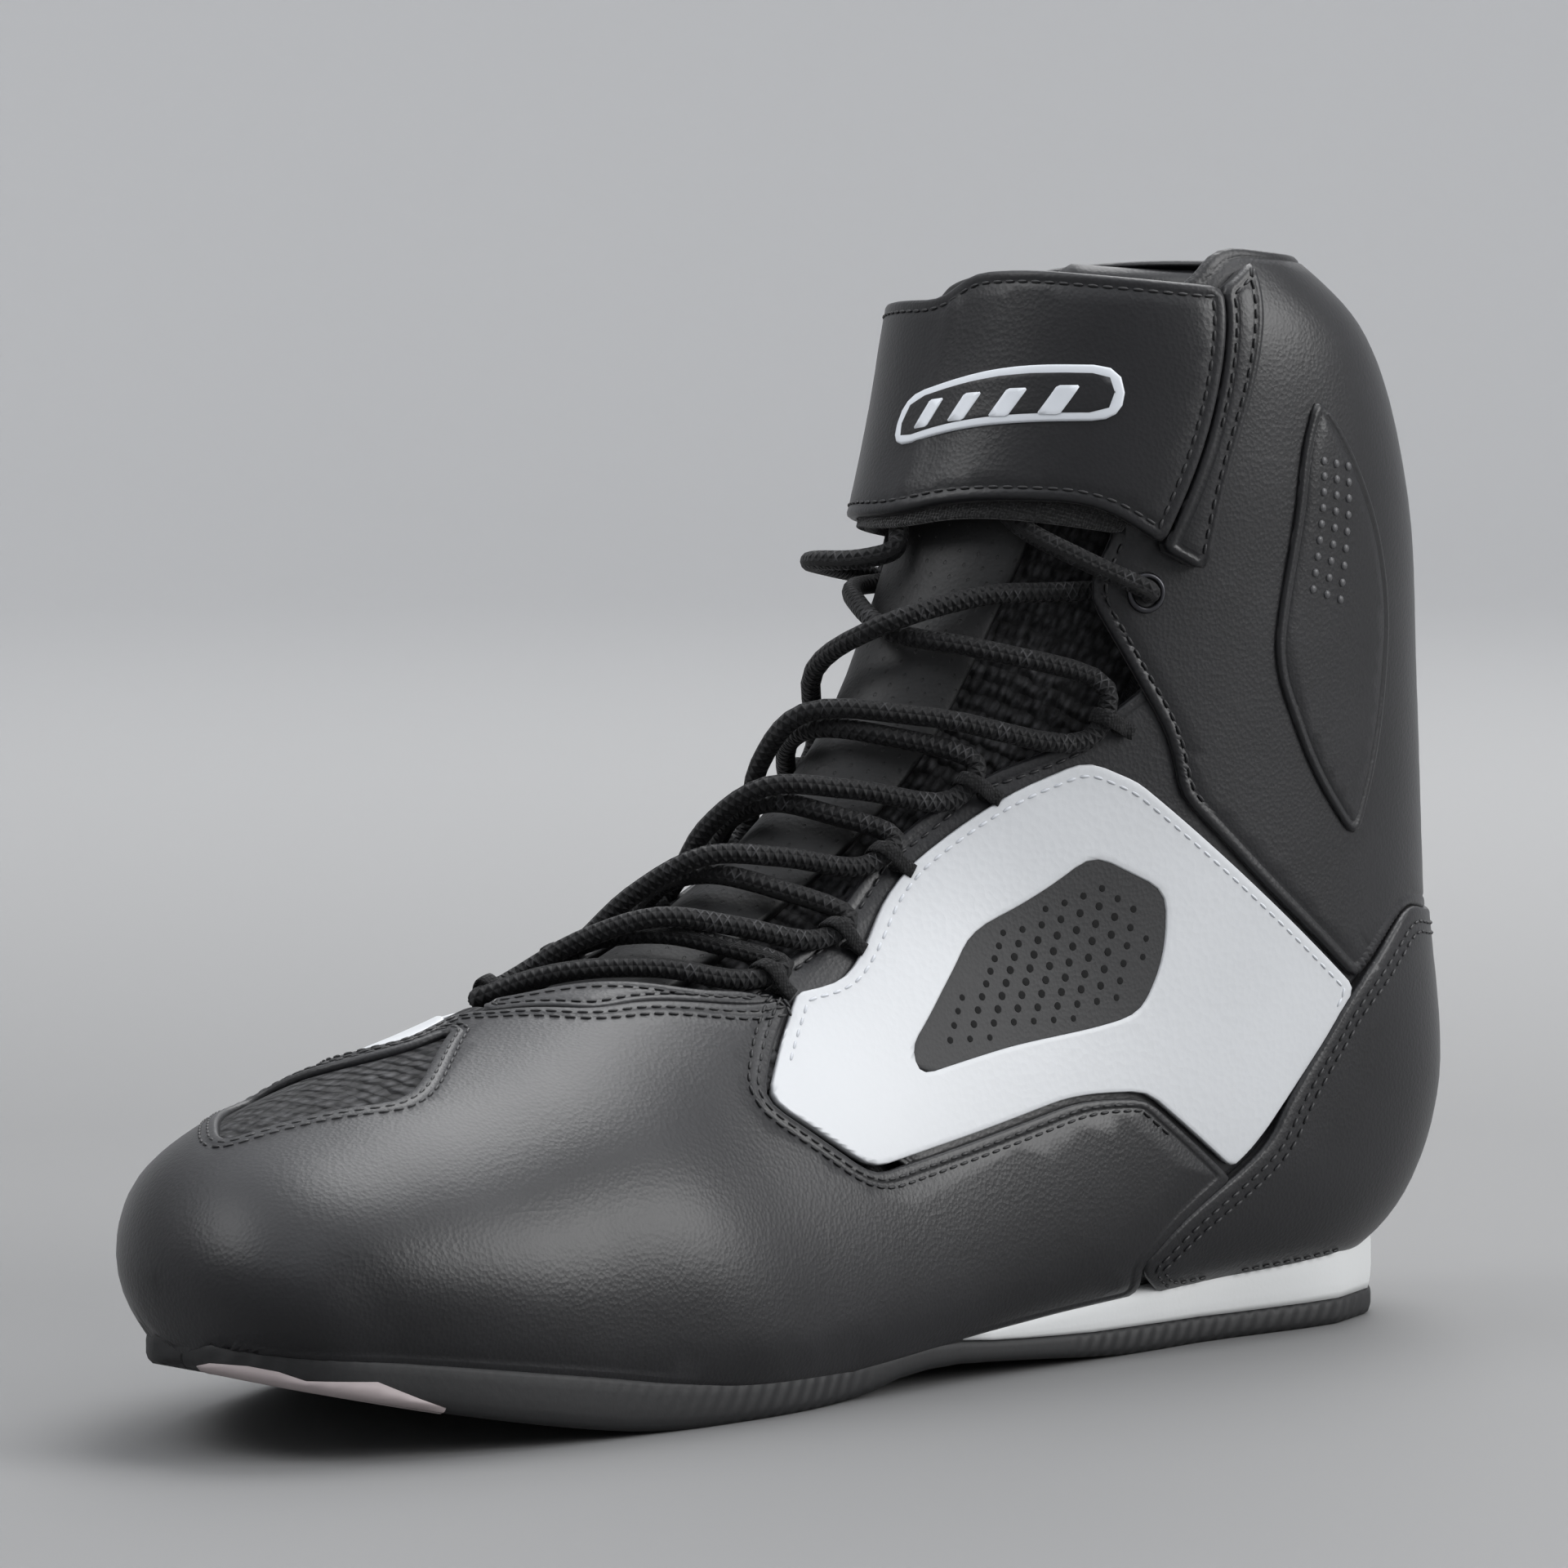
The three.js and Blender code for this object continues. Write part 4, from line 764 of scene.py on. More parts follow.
def catmull(points, per=6):
    """A centripetal Catmull-Rom line through points."""
    p = np.asarray(points, float)
    p = np.vstack([2 * p[0] - p[1], p, 2 * p[-1] - p[-2]])
    out = []
    for i in range(1, len(p) - 2):
        a, b, c, d = p[i - 1 : i + 3]
        t1 = np.linalg.norm(b - a) ** 0.5 + 1e-9
        t2 = t1 + np.linalg.norm(c - b) ** 0.5 + 1e-9
        t3 = t2 + np.linalg.norm(d - c) ** 0.5 + 1e-9
        for t in np.linspace(t1, t2, per, endpoint=False):
            a1 = (t1 - t) / t1 * a + t / t1 * b
            a2 = (t2 - t) / (t2 - t1) * b + (t - t1) / (t2 - t1) * c
            a3 = (t3 - t) / (t3 - t2) * c + (t - t2) / (t3 - t2) * d
            b1 = (t2 - t) / t2 * a1 + t / t2 * a2
            b2 = (t3 - t) / (t3 - t1) * a2 + (t - t1) / (t3 - t1) * a3
            out.append((t2 - t) / (t2 - t1) * b1 + (t - t1) / (t2 - t1) * b2)
    return np.array([*out, p[-2]])


def tube_faces(base, rings, sides):
    """Faces of a tube of rings with a cap at each end, its points numbered from base."""
    faces = []
    for i in range(rings - 1):
        here, there = base + i * sides, base + (i + 1) * sides
        for j in range(sides):
            k = (j + 1) % sides
            faces.append((here + j, here + k, there + k, there + j))
    last = base + (rings - 1) * sides
    return faces + [tuple(range(base, base + sides))[::-1], tuple(range(last, last + sides))]


def sweep(name, line, across, thick, wide, sides, power=2.0):
    """A tube or flat band along a line. across is the band's width direction at each point."""
    n = len(line)
    ahead = np.gradient(line, axis=0)
    ahead /= np.linalg.norm(ahead, axis=1, keepdims=True)
    across = across - (across * ahead).sum(1, keepdims=True) * ahead
    across /= np.linalg.norm(across, axis=1, keepdims=True)
    normal = np.cross(ahead, across)
    length = np.r_[0, np.cumsum(np.linalg.norm(np.diff(line, axis=0), axis=1))]
    verts, uv = [], []
    for j in range(sides):
        a = 2 * math.pi * j / sides
        c, s = math.cos(a), math.sin(a)
        g = (abs(c) ** power + abs(s) ** power) ** (-1 / power)
        verts.append(line + across * (wide * c * g) + normal * (thick * s * g))
        uv.append(np.stack([length * MM, np.full(n, j / sides)], 1))
    verts = np.stack(verts, 1).reshape(-1, 3)
    uv = np.stack(uv, 1).reshape(-1, 2)
    return make(name, verts, tube_faces(0, n, sides), uv)


def twist_free(line, start):
    """Directions across a line that turn as little as possible."""
    ahead = np.gradient(line, axis=0)
    ahead /= np.linalg.norm(ahead, axis=1, keepdims=True)
    v, out = np.asarray(start, float), []
    for a in ahead:
        v = v - (v @ a) * a
        v /= np.linalg.norm(v)
        out.append(v)
    return np.array(out)


WIDE_STEP = 0.14  # a strand that spans more of the share than this gets a point halfway


def lace_line():
    """The lace's line in mm, through its route."""
    points = [LACE_ROUTE[0]]
    for here, there in zip(LACE_ROUTE, LACE_ROUTE[1:]):
        if abs(there[1] - here[1]) >= WIDE_STEP:
            points.append(tuple((a + b) / 2 for a, b in zip(here, there)))
        points.append(there)
    p = np.array(points, float)
    return catmull(over(p[:, 0], p[:, 1], p[:, 2]), 5)


STITCH_SIDES = 5
STITCH_PROFILE = [(-0.5, 0.12), (-0.36, 0.8), (0, 1), (0.36, 0.8), (0.5, 0.12)]  # along, and its radius


def stitches(line, height, pitch, long=1.9, thick=0.3):
    """Points and faces of a row of thread stitches along a pattern line, just proud of a surface."""
    shares = np.linspace(0, 1, 5)[:-1]
    dense = np.vstack([a + (b - a) * x for a, b in zip(line[:-1], line[1:]) for x in shares])
    p = over(dense[:, 0], dense[:, 1], np.full(len(dense), height))
    length = np.r_[0, np.cumsum(np.linalg.norm(np.diff(p, axis=0), axis=1))]
    verts, faces = [], []
    for d in np.arange(pitch / 2, length[-1], pitch):
        ends = [np.array([np.interp(d + x * long, length, p[:, k]) for k in range(3)]) for x in (-0.5, 0.5)]
        t, share = [np.interp(d, length, dense[:, k]) for k in range(2)]
        n = outward(np.array(t), np.array(share))
        a = ends[1] - ends[0]
        if np.linalg.norm(a) < 0.4 * long:
            continue
        a /= np.linalg.norm(a)
        b = np.cross(n, a)
        mid, base = (ends[0] + ends[1]) / 2, len(verts)
        for x, r in STITCH_PROFILE:
            for q in range(STITCH_SIDES):
                angle = 2 * math.pi * q / STITCH_SIDES + 0.3
                verts.append(mid + a * x * long + (b * math.cos(angle) + n * math.sin(angle)) * thick * r)
        faces += tube_faces(base, len(STITCH_PROFILE), STITCH_SIDES)
    return verts, faces


class Thread:
    """Collects rows of stitches into one piece."""

    def __init__(self):
        self.verts, self.faces = [], []

    def row(self, line, height, pitch):
        verts, faces = stitches(np.asarray(line, float), height, pitch)
        base = len(self.verts)
        self.verts += verts
        self.faces += [tuple(i + base for i in f) for f in faces]

    def edge(self, points, distance, height, pitch, where=lambda t, s: True):
        """Stitches inside an outline's edge, where the test holds."""
        line = offset(smooth_outline(points), distance)
        runs = [[]]
        for q in [*line, line[0]]:
            if where(q[0], q[1]):
                runs[-1].append(q)
            else:
                runs.append([])
        for run in runs:
            if len(run) > 3:
                self.row(run, height, pitch)

    def build(self, name, slot, finish, body="shoe"):
        return place(make(name, self.verts, self.faces), slot, (), body, finish)


# ---- Sizes and colours ----

def colour_property(name, description, default):
    return bpy.props.FloatVectorProperty(name=name, description=description, subtype="COLOR", size=3,
                                         default=default)


class ShoeLook(bpy.types.PropertyGroup):
    """Colours of the shoe's main materials."""

    leather_colour: colour_property("Leather", "Colour of the black microfibre", (0.005, 0.005, 0.006))
    overlay_colour: colour_property("Side panel", "Colour of the white side panels", (0.52, 0.533, 0.548))
    sole_colour: colour_property("Sole", "Colour of the moulded outsole", (0.006, 0.0062, 0.007))
    wedge_colour: colour_property("Heel wedge", "Colour of the foam wedge", (0.6, 0.61, 0.61))


class ShoeSizes(bpy.types.PropertyGroup):
    """Sizes of the finer details."""

    lace_thickness: bpy.props.FloatProperty(name="Lace", description="Diameter of the lace", default=0.0036,
                                            min=0.002, max=0.006, unit="LENGTH")
    stitch_pitch: bpy.props.FloatProperty(name="Stitch pitch", description="Distance between stitches in mm",
                                          default=2.7, min=1.5, max=5)
    sole_edge: bpy.props.FloatProperty(name="Sole edge", description="How far the sole stands out, in mm",
                                       default=2.1, min=0.5, max=4)
    panel_spacing: bpy.props.FloatProperty(name="Panel mesh", default=3.2, min=1.5, max=8,
                                           description="Spacing of the panels' points in mm")


def look():
    return bpy.context.scene.shoe_look


def sizes():
    return bpy.context.scene.shoe_sizes


# ---- Operators ----

class SHOE_OT_materials(bpy.types.Operator):
    """Make the shoe's materials and give each inner piece its own"""

    bl_idname = "shoe.materials"
    bl_label = "Materials"

    def execute(self, context):
        build_materials(look())
        slots = {s["node"]: s["material_slot"] for s in frame["record"]["subparts"]}
        for name, obj in NODES.items():
            obj.data.materials.clear()
            obj.data.materials.append(MATERIALS[slots[name]])
        return {"FINISHED"}


class SHOE_OT_stage(bpy.types.Operator):
    """Set up the floor, the lights and the camera"""

    bl_idname = "shoe.stage"
    bl_label = "Stage"

    # Metres and watts: where each lamp stands, its width and its power
    LAMPS = (("key", (-0.8, -1.5, 1.8), 1.2, 13), ("side", (1.55, 1.2, 0.95), 1.3, 32),
             ("top", (-0.1, 0.75, 1.8), 1.3, 23), ("rear", (-1.1, 1.4, 1.4), 1.1, 8))
    LAMP_TARGET = (0, 0, 0.09)

    def execute(self, context):
        scene = context.scene
        azimuth, elevation, away = math.radians(49.12), math.radians(4.23), 1.49891
        target = Vector((-0.0008, 0.00111, 0.1033)) + Vector(SHIFT * MM)
        back = Vector((math.sin(azimuth) * math.cos(elevation), -math.cos(azimuth) * math.cos(elevation),
                       math.sin(elevation)))
        data = bpy.data.cameras.new("camera")
        data.sensor_width, data.lens, data.clip_start = 36, 195.05, 0.05
        scene.camera = self.aimed("camera", data, target + back * away, -back)
        self.floor()
        for name, at, size, power in self.LAMPS:
            light = bpy.data.lights.new(name, "AREA")
            light.shape, light.size, light.energy = "DISK", size, power
            self.aimed(name, light, at, Vector(self.LAMP_TARGET) - Vector(at))
        scene.world = bpy.data.worlds.new("studio")
        scene.world.use_nodes = True
        background = scene.world.node_tree.nodes["Background"]
        background.inputs["Color"].default_value = (0.86, 0.88, 0.92, 1)
        background.inputs["Strength"].default_value = 1.7
        scene.view_settings.view_transform = "Standard"
        return {"FINISHED"}

    def aimed(self, name, data, at, direction):
        """An object that looks along a direction."""
        thing = bpy.data.objects.new(name, data)
        thing.location = at
        thing.rotation_mode = "QUATERNION"
        thing.rotation_quaternion = direction.to_track_quat("-Z", "Y")
        bpy.context.scene.collection.objects.link(thing)
        return thing

    def floor(self):
        """A round sheet of paper that curves up into a wall, sizes in metres."""
        flat, bend, height = 2.6, 1.2, 3.4
        angles = np.linspace(0.1, math.pi / 2, 14)
        curve = [(flat + bend * math.sin(a), bend - bend * math.cos(a)) for a in angles]
        bm = bmesh.new()
        revolve(bm, [(0.001, 0), (0.9, 0), (flat, 0), *curve, (flat + bend, height)], 72)
        bmesh.ops.recalc_face_normals(bm, faces=bm.faces)
        for f in bm.faces:
            f.smooth = True
        paper = finish_mesh(bm, "floor")
        paper.data.materials.append(self.backdrop())

    def backdrop(self):
        """Grey paper with a painted gradient of light and shade: darkest round the shoe, paler as it goes
        back and rises.
        """
        m, tree, bsdf = nodes_of("studio_paper")
        fac = spread(tree, length_of(tree, surface_coords(tree)), From_Min=0.4, From_Max=3.8)
        # Painted light and shade: darker near the shoe, paler far away and up the wall.
        stops = [(0.0, grey(0.17)), (0.3, grey(0.29)), (0.65, grey(0.41)), (1.0, grey(0.45))]
        set_sockets(tree, bsdf, Base_Color=ramp(tree, fac, stops), Roughness=0.7)
        return m


class SHOE_OT_lacing(bpy.types.Operator):
    """Lay the lace through its loops and eyelets"""

    bl_idname = "shoe.lacing"
    bl_label = "Lacing"

    # Across the pattern and above it, mm: round the lace, then down to the tab on the quarter
    LOOP = [(5.4, 1.15), (3.6, 1.4), (1.2, 3.0), (-1.2, 3.5), (-2.9, 1.6), (-2.4, -1.1), (0, -1.9),
            (2.6, -0.4), (3.8, 0.6), (5.4, 0.6)]
    # Radius and height, mm
    RING = [(2.55, -1.6), (2.5, 0.25), (2.62, 0.62), (2.9, 0.82), (3.3, 0.78), (3.62, 0.5), (3.72, 0.1)]
    RING_WALL = 0.00022

    def execute(self, context):
        line = lace_line()
        thick = sizes().lace_thickness / MM / 2
        lace = sweep("shoelace_braid", line, twist_free(line, (0, 0, 1)), thick, thick, 12)
        place(lace, "lace_cord", replaces=("shoelace",))
        for side, rows in (("inner", NEAR_ROWS), ("outer", FAR_ROWS)):
            for i, (t, s) in enumerate(rows):
                self.loop(f"lace_loop_{side}_{i + 1}", t, s)
        for side, sign in SIDES:
            self.eyelet(side, EYELET[0], sign * EYELET[1])
        return {"FINISHED"}

    def loop(self, name, t, s):
        """A webbing band round the lace, with its tab laid over the quarter."""
        across, height = np.array(self.LOOP).T
        share = s + np.sign(s) * across / float(metric(np.array([[t, s]]))[0, 1])
        line = catmull(over(np.full(len(share), t), share, height), 5)
        dt, _ = slopes(np.array([t]), np.array([s]))
        band = sweep(name + "_band", line, np.repeat(dt, len(line), 0), 0.3, 1.35, 10, power=4)
        place(band, "webbing", replaces=(name,))

    def eyelet(self, side, t, s):
        """A rolled metal ring with its barrel."""
        centre, n = over(np.array(t), np.array(s), np.array(1.0)), Vector(outward(np.array(t), np.array(s)))
        bm = bmesh.new()
        revolve(bm, [(r * MM, z * MM) for r, z in self.RING], 40)
        bmesh.ops.remove_doubles(bm, verts=bm.verts, dist=1e-6)
        bmesh.ops.recalc_face_normals(bm, faces=bm.faces)
        bmesh.ops.solidify(bm, geom=bm.faces[:], thickness=self.RING_WALL)
        for f in bm.faces:
            f.smooth = True
        turn = n.to_track_quat("Z", "X").to_matrix().to_4x4()
        bmesh.ops.transform(bm, matrix=Matrix.Translation(Vector(centre * MM)) @ turn, verts=bm.verts)
        place(finish_mesh(bm, f"eyelet_{side}_ring"), "eyelet_metal", replaces=(f"eyelet_{side}",))


class SHOE_OT_sole(bpy.types.Operator):
    """Mould the outsole and the foam wedge"""

    bl_idname = "shoe.sole"
    bl_label = "Sole"

    COLUMNS = 10
    WEDGE_FRONT = -8  # how far forward the foam wedge reaches, mm
    WEDGE_GAP = 0.12

    def plan(self):
        """Plan points of both sides by station, and the directions out of the sole there."""
        t = np.r_[0.02, 0.06, 0.14, 0.26, 0.4, 0.6, np.arange(0.8, 9, 0.2), 9.08, 9.16, 9.22, 9.27]
        sides = [np.array([skin(x, feather(x, side)) for x in t]) for side in (1, -1)]
        ring = np.vstack([sides[0], sides[1][::-1]])[:, :2]
        ahead = np.roll(ring, -1, 0) - np.roll(ring, 1, 0)
        out = np.stack([ahead[:, 1], -ahead[:, 0]], 1)
        out /= np.linalg.norm(out, axis=1, keepdims=True)
        if (out * (ring - ring.mean(0))).sum() < 0:
            out = -out
        return ring, out

    def forward(self, y):
        """How far forward a point is, in the last's axes."""
        return -(y - SHIFT[1])

    def slab(self, name, low, high, front, rear, round_low, round_high):
        """A moulded layer with rounded edges, between two lines along the foot."""
        ring, out = self.plan()
        wall = [(0.0, round_low), (0.12, round_low * 0.3), (0.3, 0.0), (0.5, 0.0), (0.7, 0.0),
                (0.88, round_high * 0.3), (1.0, round_high)]

        def wall_point(k, share, inset):
            q = ring[k] + out[k] * (sizes().sole_edge - inset)
            f = np.clip(self.forward(q[1]), rear, front)
            z0, z1 = np.interp(f, low[:, 0], low[:, 1]), np.interp(f, high[:, 0], high[:, 1])
            return [q[0], -f + SHIFT[1], z0 + share * (z1 - z0)]

        verts, rings = [], 0
        for k in range(len(ring) // 2):
            other = -1 - k
            if not all(front >= self.forward(ring[i, 1]) >= rear for i in (k, other)):
                continue
            near = [wall_point(k, *step) for step in wall]
            far = [wall_point(other, *step) for step in reversed(wall)]
            verts += near + self.across(near[-1], far[0], high) + far + self.across(far[-1], near[0], low)
            rings += 1
        return face_out(make(name, verts, tube_faces(0, rings, len(verts) // rings)))

    def across(self, a, b, line):
        """Points from a to b, at the heights of a line along the foot."""
        points = []
        for c in range(1, self.COLUMNS):
            p = np.array(a) + (np.array(b) - np.array(a)) * (c / self.COLUMNS)
            p[2] = np.interp(self.forward(p[1]), line[:, 0], line[:, 1])
            points.append(list(p))
        return points

    def inlay(self, bottom):
        """A thin plate under the inner toe that wraps the lower lip of the sole, with a jagged upper edge."""
        ring, out = self.plan()
        span = np.nonzero((ring[:, 0] > 18) & (ring[:, 1] < -111))[0]
        jags = np.interp(np.linspace(0, 1, len(span)), [0, 0.25, 0.4, 0.7, 1], [0.1, 0.8, 0.35, 1, 0])
        verts = []
        for k, high in zip(span, 1 + 2.6 * jags):
            z = float(np.interp(self.forward(ring[k, 1]), bottom[:, 0], bottom[:, 1]))
            shape = [(16, -0.25), (2, -0.25), (0.5, 0.3), (-0.25, 1.1), (-0.25, high), (0.6, high),
                     (0.6, 1.4), (16, 0.8)]
            verts += [(*(ring[k] + out[k] * (sizes().sole_edge - inset)), z + dz) for inset, dz in shape]
        return face_out(make("toe_inlay_plate", verts, tube_faces(0, len(span), len(shape))))

    def execute(self, context):
        fine = np.linspace(-152, 150, 200)

        def smooth(line):
            heights = np.pad(np.interp(fine, line[:, 0], line[:, 1]), 3, "edge")
            return np.stack([fine, np.convolve(heights, np.ones(7) / 7, "valid")], 1)

        top, bottom = smooth(SOLE_TOP), smooth(SOLE_BOTTOM)
        wedge = np.minimum(np.interp(fine, WEDGE_BOTTOM[:, 0], WEDGE_BOTTOM[:, 1]), top[:, 1] - 0.4)
        split = np.stack([fine, np.where(fine < self.WEDGE_FRONT, wedge, top[:, 1])], 1)
        place(self.slab("outsole_moulded", bottom, split, 160, -160, 1.1, 0.5), "rubber_black",
              replaces=("outsole",))
        place(self.inlay(bottom), "rubber_pink", replaces=("toe_inlay",))
        above = np.stack([fine, split[:, 1] + self.WEDGE_GAP], 1)
        place(self.slab("heel_wedge_foam", above, top, self.WEDGE_FRONT - 1, -160, 0.4, 1.3), "foam_white",
              replaces=("heel_wedge",))
        return {"FINISHED"}


class SHOE_OT_upper(bpy.types.Operator):
    """Lay the knit vamp, the quarters, the side panels and the counter on the last"""

    bl_idname = "shoe.upper"
    bl_label = "Upper"

    def execute(self, context):
        gap = sizes().panel_spacing
        lay("knit_vamp_cloth", KNIT, -2.0, 0.1, "knit_grey", ("knit_vamp",), spacing=gap)
        lay("toe_wrap_leather", toe_outline(), -0.4, 1.45, "leather_black", ("toe_wrap",), spacing=gap,
            holes=(KNIT_WINDOW,), edge=0.7, groove=2.8)
        lay("throat_leather", THROAT, -0.4, 1.15, "leather_black", ("throat_piece",), spacing=2.4, edge=0.6,
            groove=1.8)
        for (side, sign), overlay, edge in zip(SIDES, (OVERLAY_INNER, OVERLAY_OUTER),
                                               (LACE_EDGE_INNER, LACE_EDGE_OUTER)):
            start = (edge[0][0] - 0.2, edge[0][1] + 0.05 * sign, 3)
            quarter = [start, *edge, (14.3, 0.36 * sign, 3), (14.3, 0.995 * sign, 1), (9.28, 0.995 * sign, 1),
                       *sole_limit(7.2, 9.2, sign)[::-1]]
            lay(f"quarter_{side}_leather", quarter, -2.0, -0.5, "leather_black", (f"quarter_{side}",),
                spacing=gap, edge=0.6, groove=2.2)
            vent = on_side(VENT, sign)
            lay(f"overlay_{side}_synthetic", overlay, -0.4, 1.05, "synthetic_white", (f"overlay_{side}",),
                spacing=gap, holes=(vent,), edge=0.32)
            lay(f"vent_{side}_sheet", grown(vent, 1.2, 4), -0.42, 0.75, "mesh_dark", (f"vent_{side}",),
                finish="vent_mesh", spacing=2.4)
        counter = grown(counter_outline(), 1.5)
        lay("heel_counter_leather", counter, -0.4, 1.8, "leather_black", ("heel_counter",), spacing=gap,
            edge=0.7)
        return {"FINISHED"}


class SHOE_OT_collar(bpy.types.Operator):
    """Make the ankle cuff, its guards, the padded collar and the lining"""

    bl_idname = "shoe.collar"
    bl_label = "Ankle collar"

    def execute(self, context):
        gap = sizes().panel_spacing
        far = [(14.25, 0.48, 9), (13.95, 0.36, 6), (13.85, 0.27, 6), *CUFF_FRONT[3:], *CUFF_BOTTOM]
        other = [(t, 2 - s, r) for t, s, r in reversed(far)]
        cuff = [*CUFF_FRONT, *CUFF_BOTTOM, (11.09, 1, 9), *other, *CUFF_RIM[::-1]]
        lay("cuff_leather", cuff, -0.4, 1.0, "leather_black", ("cuff_inner", "cuff_outer"), spacing=gap,
            edge=0.7, groove=2.2)
        for side, sign in SIDES:
            lay(f"ankle_guard_{side}_leather", on_side(GUARD, sign), 1.0, 1.95, "leather_black",
                (f"ankle_guard_{side}",), spacing=2.6, edge=0.7, groove=1.8)
        outer = [(t, 2 + s, r) for t, s, r in sole_limit(5.1, 9.25, -1)]
        lining = [*LINING_TOP, *outer, (9.33, 1, 9), *sole_limit(5.1, 9.25, 1)[::-1]]
        lay("lining_cloth_shell", lining, -6.2, -3.7, "lining_cloth", ("lining_inner", "lining_outer"),
            spacing=5, edge=1.2)
        self.roll()
        return {"FINISHED"}

    def roll(self):
        """The padded roll round the ankle, dipping towards both of its front ends."""
        share = np.linspace(0.42, 1.62, 70)
        station = 14.72 - 0.06 * np.sin((share - share[0]) / (share[-1] - share[0]) * math.pi)
        station -= 3 * np.clip(0.54 - share, 0, 1) + 5 * np.clip(share - 1.33, 0, 1)
        line = over(station, share, np.full(len(share), -3.2))
        roll = place(sweep("collar_roll", line, outward(station, share), 2.7, 3.0, 16), "leather_black")


class SHOE_OT_tongue(bpy.types.Operator):
    """Make the perforated tongue and its knit gussets"""

    bl_idname = "shoe.tongue"
    bl_label = "Tongue"

    def puff(self, points, inwards):
        """How much the padding raises the leather, mm."""
        return 0.7 * np.clip(inwards / 9, 0, 1) ** 0.5

    def execute(self, context):
        # The tongue pieces take the tongue finish: the black leather darkened as painted shade, with painted
        # shade in its pinholes.
        lay("tongue_lower_leather", TONGUE_LOWER, -6.0, -3.6, "leather_black", ("tongue_lower",),
            finish="tongue", spacing=3.4, edge=1.0, relief=self.puff)
        top = lay("tongue_upper_leather", TONGUE_TOP, -6.0, -3.6, "leather_black", ("tongue_upper",),
                  "tongue_top", "tongue", spacing=2.6, edge=1.1, relief=self.puff)
        for side, sign in SIDES:
            lay(f"gusset_{side}_knit", on_side(GUSSET, sign), -7.4, -6.6, "mesh_dark", (f"gusset_{side}",),
                finish="knit_grey", spacing=3.4)
        return {"FINISHED"}


class SHOE_OT_strap(bpy.types.Operator):
    """Make the ankle strap, its base, its hook-and-loop tape and its badge"""

    bl_idname = "shoe.strap"
    bl_label = "Ankle strap"

    BAR = [(-0.17, 0), (-0.14, 0.026), (0.17, 0.044), (0.14, 0.018)]  # a leaning bar's corners from its foot

    def crease(self, points, inwards):
        """A raised fold across the strap where it bends over the tongue, mm."""
        return 0.45 * np.exp(-(((points[:, 1] + 0.004) / 0.011) ** 2)) * np.clip(inwards / 3, 0, 1)

    def execute(self, context):
        lay("strap_leather", STRAP_OUTLINE, 3.6, 5.6, "leather_black", ("strap",), "ankle_strap", spacing=2.4,
            edge=0.8, groove=2.2, relief=self.crease)
        lay("strap_hook_tape", BACKING, 2.5, 3.35, "hook_loop_fabric", ("strap_backing",), "ankle_strap",
            spacing=3.0, edge=0.3)
        lay("strap_badge_print", BADGE, 5.62, 6.2, "badge_white", ("strap_badge",), "ankle_strap",
            spacing=1.6, edge=0.4)
        lay("strap_badge_field", grown(BADGE, -1.5, 3), 6.1, 6.32, "leather_black", (), "ankle_strap",
            spacing=1.6, edge=0.1)
        for i, share in enumerate((-0.02, 0.04, 0.1, 0.16)):
            t = 12.86 + (share + 0.03) * 1.5
            bar = [(t + dt, share + ds, 0.4) for dt, ds in self.BAR]
            lay(f"strap_badge_bar_{i + 1}", bar, 6.25, 6.42, "badge_white", (), "ankle_strap", spacing=1.6,
                edge=0.08)
        lay("strap_base_leather", STRAP_BASE, 1.2, 5.0, "leather_black", ("strap_base",), spacing=2.4,
            edge=0.9, groove=1.8)
        lay("loop_patch_tape", LOOP_PATCH, 1.0, 2.1, "hook_loop_fabric", ("loop_patch",), spacing=3.0,
            edge=0.3)
        return {"FINISHED"}


class SHOE_OT_stitching(bpy.types.Operator):
    """Sew the rows of stitches"""

    bl_idname = "shoe.stitching"
    bl_label = "Stitching"

    def execute(self, context):
        pitch = sizes().stitch_pitch
        thread = Thread()
        wrap = toe_outline()
        for d in (1.9, 3.6):
            thread.edge(wrap, d, 1.5, pitch, lambda t, s: 4.2 < t < 8.4 and abs(s) < 0.66)
            window = offset(smooth_outline(KNIT_WINDOW), -d)
            thread.row(np.vstack([window, window[:1]]), 1.42, pitch)
        thread.edge(THROAT, 1.8, 1.1, pitch, lambda t, s: s < 0.3)
        counter = counter_outline()
        for d in (1.2, 3.0):
            thread.edge(counter, d, 1.9, pitch,
                        lambda t, s: abs(s - 1) < 0.36 and (t > 9.4 or abs(s - 1) > 0.15))
        for (_, sign), edge in zip(SIDES, (LACE_EDGE_INNER, LACE_EDGE_OUTER)):
            thread.row([(t, s + sign * 0.02) for t, s, _ in edge[:5]], -0.45, pitch)
            front = [*CUFF_FRONT, (10.3, 0.54, 9), (10.4, 0.6, 9), (12, 0.8, 9), (14.8, 0.8, 9)]
            thread.edge(on_side(front, sign), 2.2, 1.0, pitch, lambda t, s: abs(s) < 0.47 and t < 12.2)
        thread.edge(STRAP_BASE, 1.8, 4.95, pitch, lambda t, s: s > 0.365)
        thread.build("stitch_rows", "leather_black", "thread")
        strap = Thread()
        strap.edge(STRAP_OUTLINE, 2.2, 5.55, pitch)
        strap.build("strap_stitch_rows", "leather_black", "thread", "ankle_strap")
        pale = Thread()
        pale.edge(OVERLAY_INNER, 2.0, 1.02, pitch, lambda t, s: s < 0.4 or t > 9.9)
        pale.edge(OVERLAY_OUTER, 2.0, 1.02, pitch, lambda t, s: (s > -0.36 and t > 5.3) or t > 9.9)
        pale.build("overlay_stitch_rows", "synthetic_white", "thread_pale")
        return {"FINISHED"}


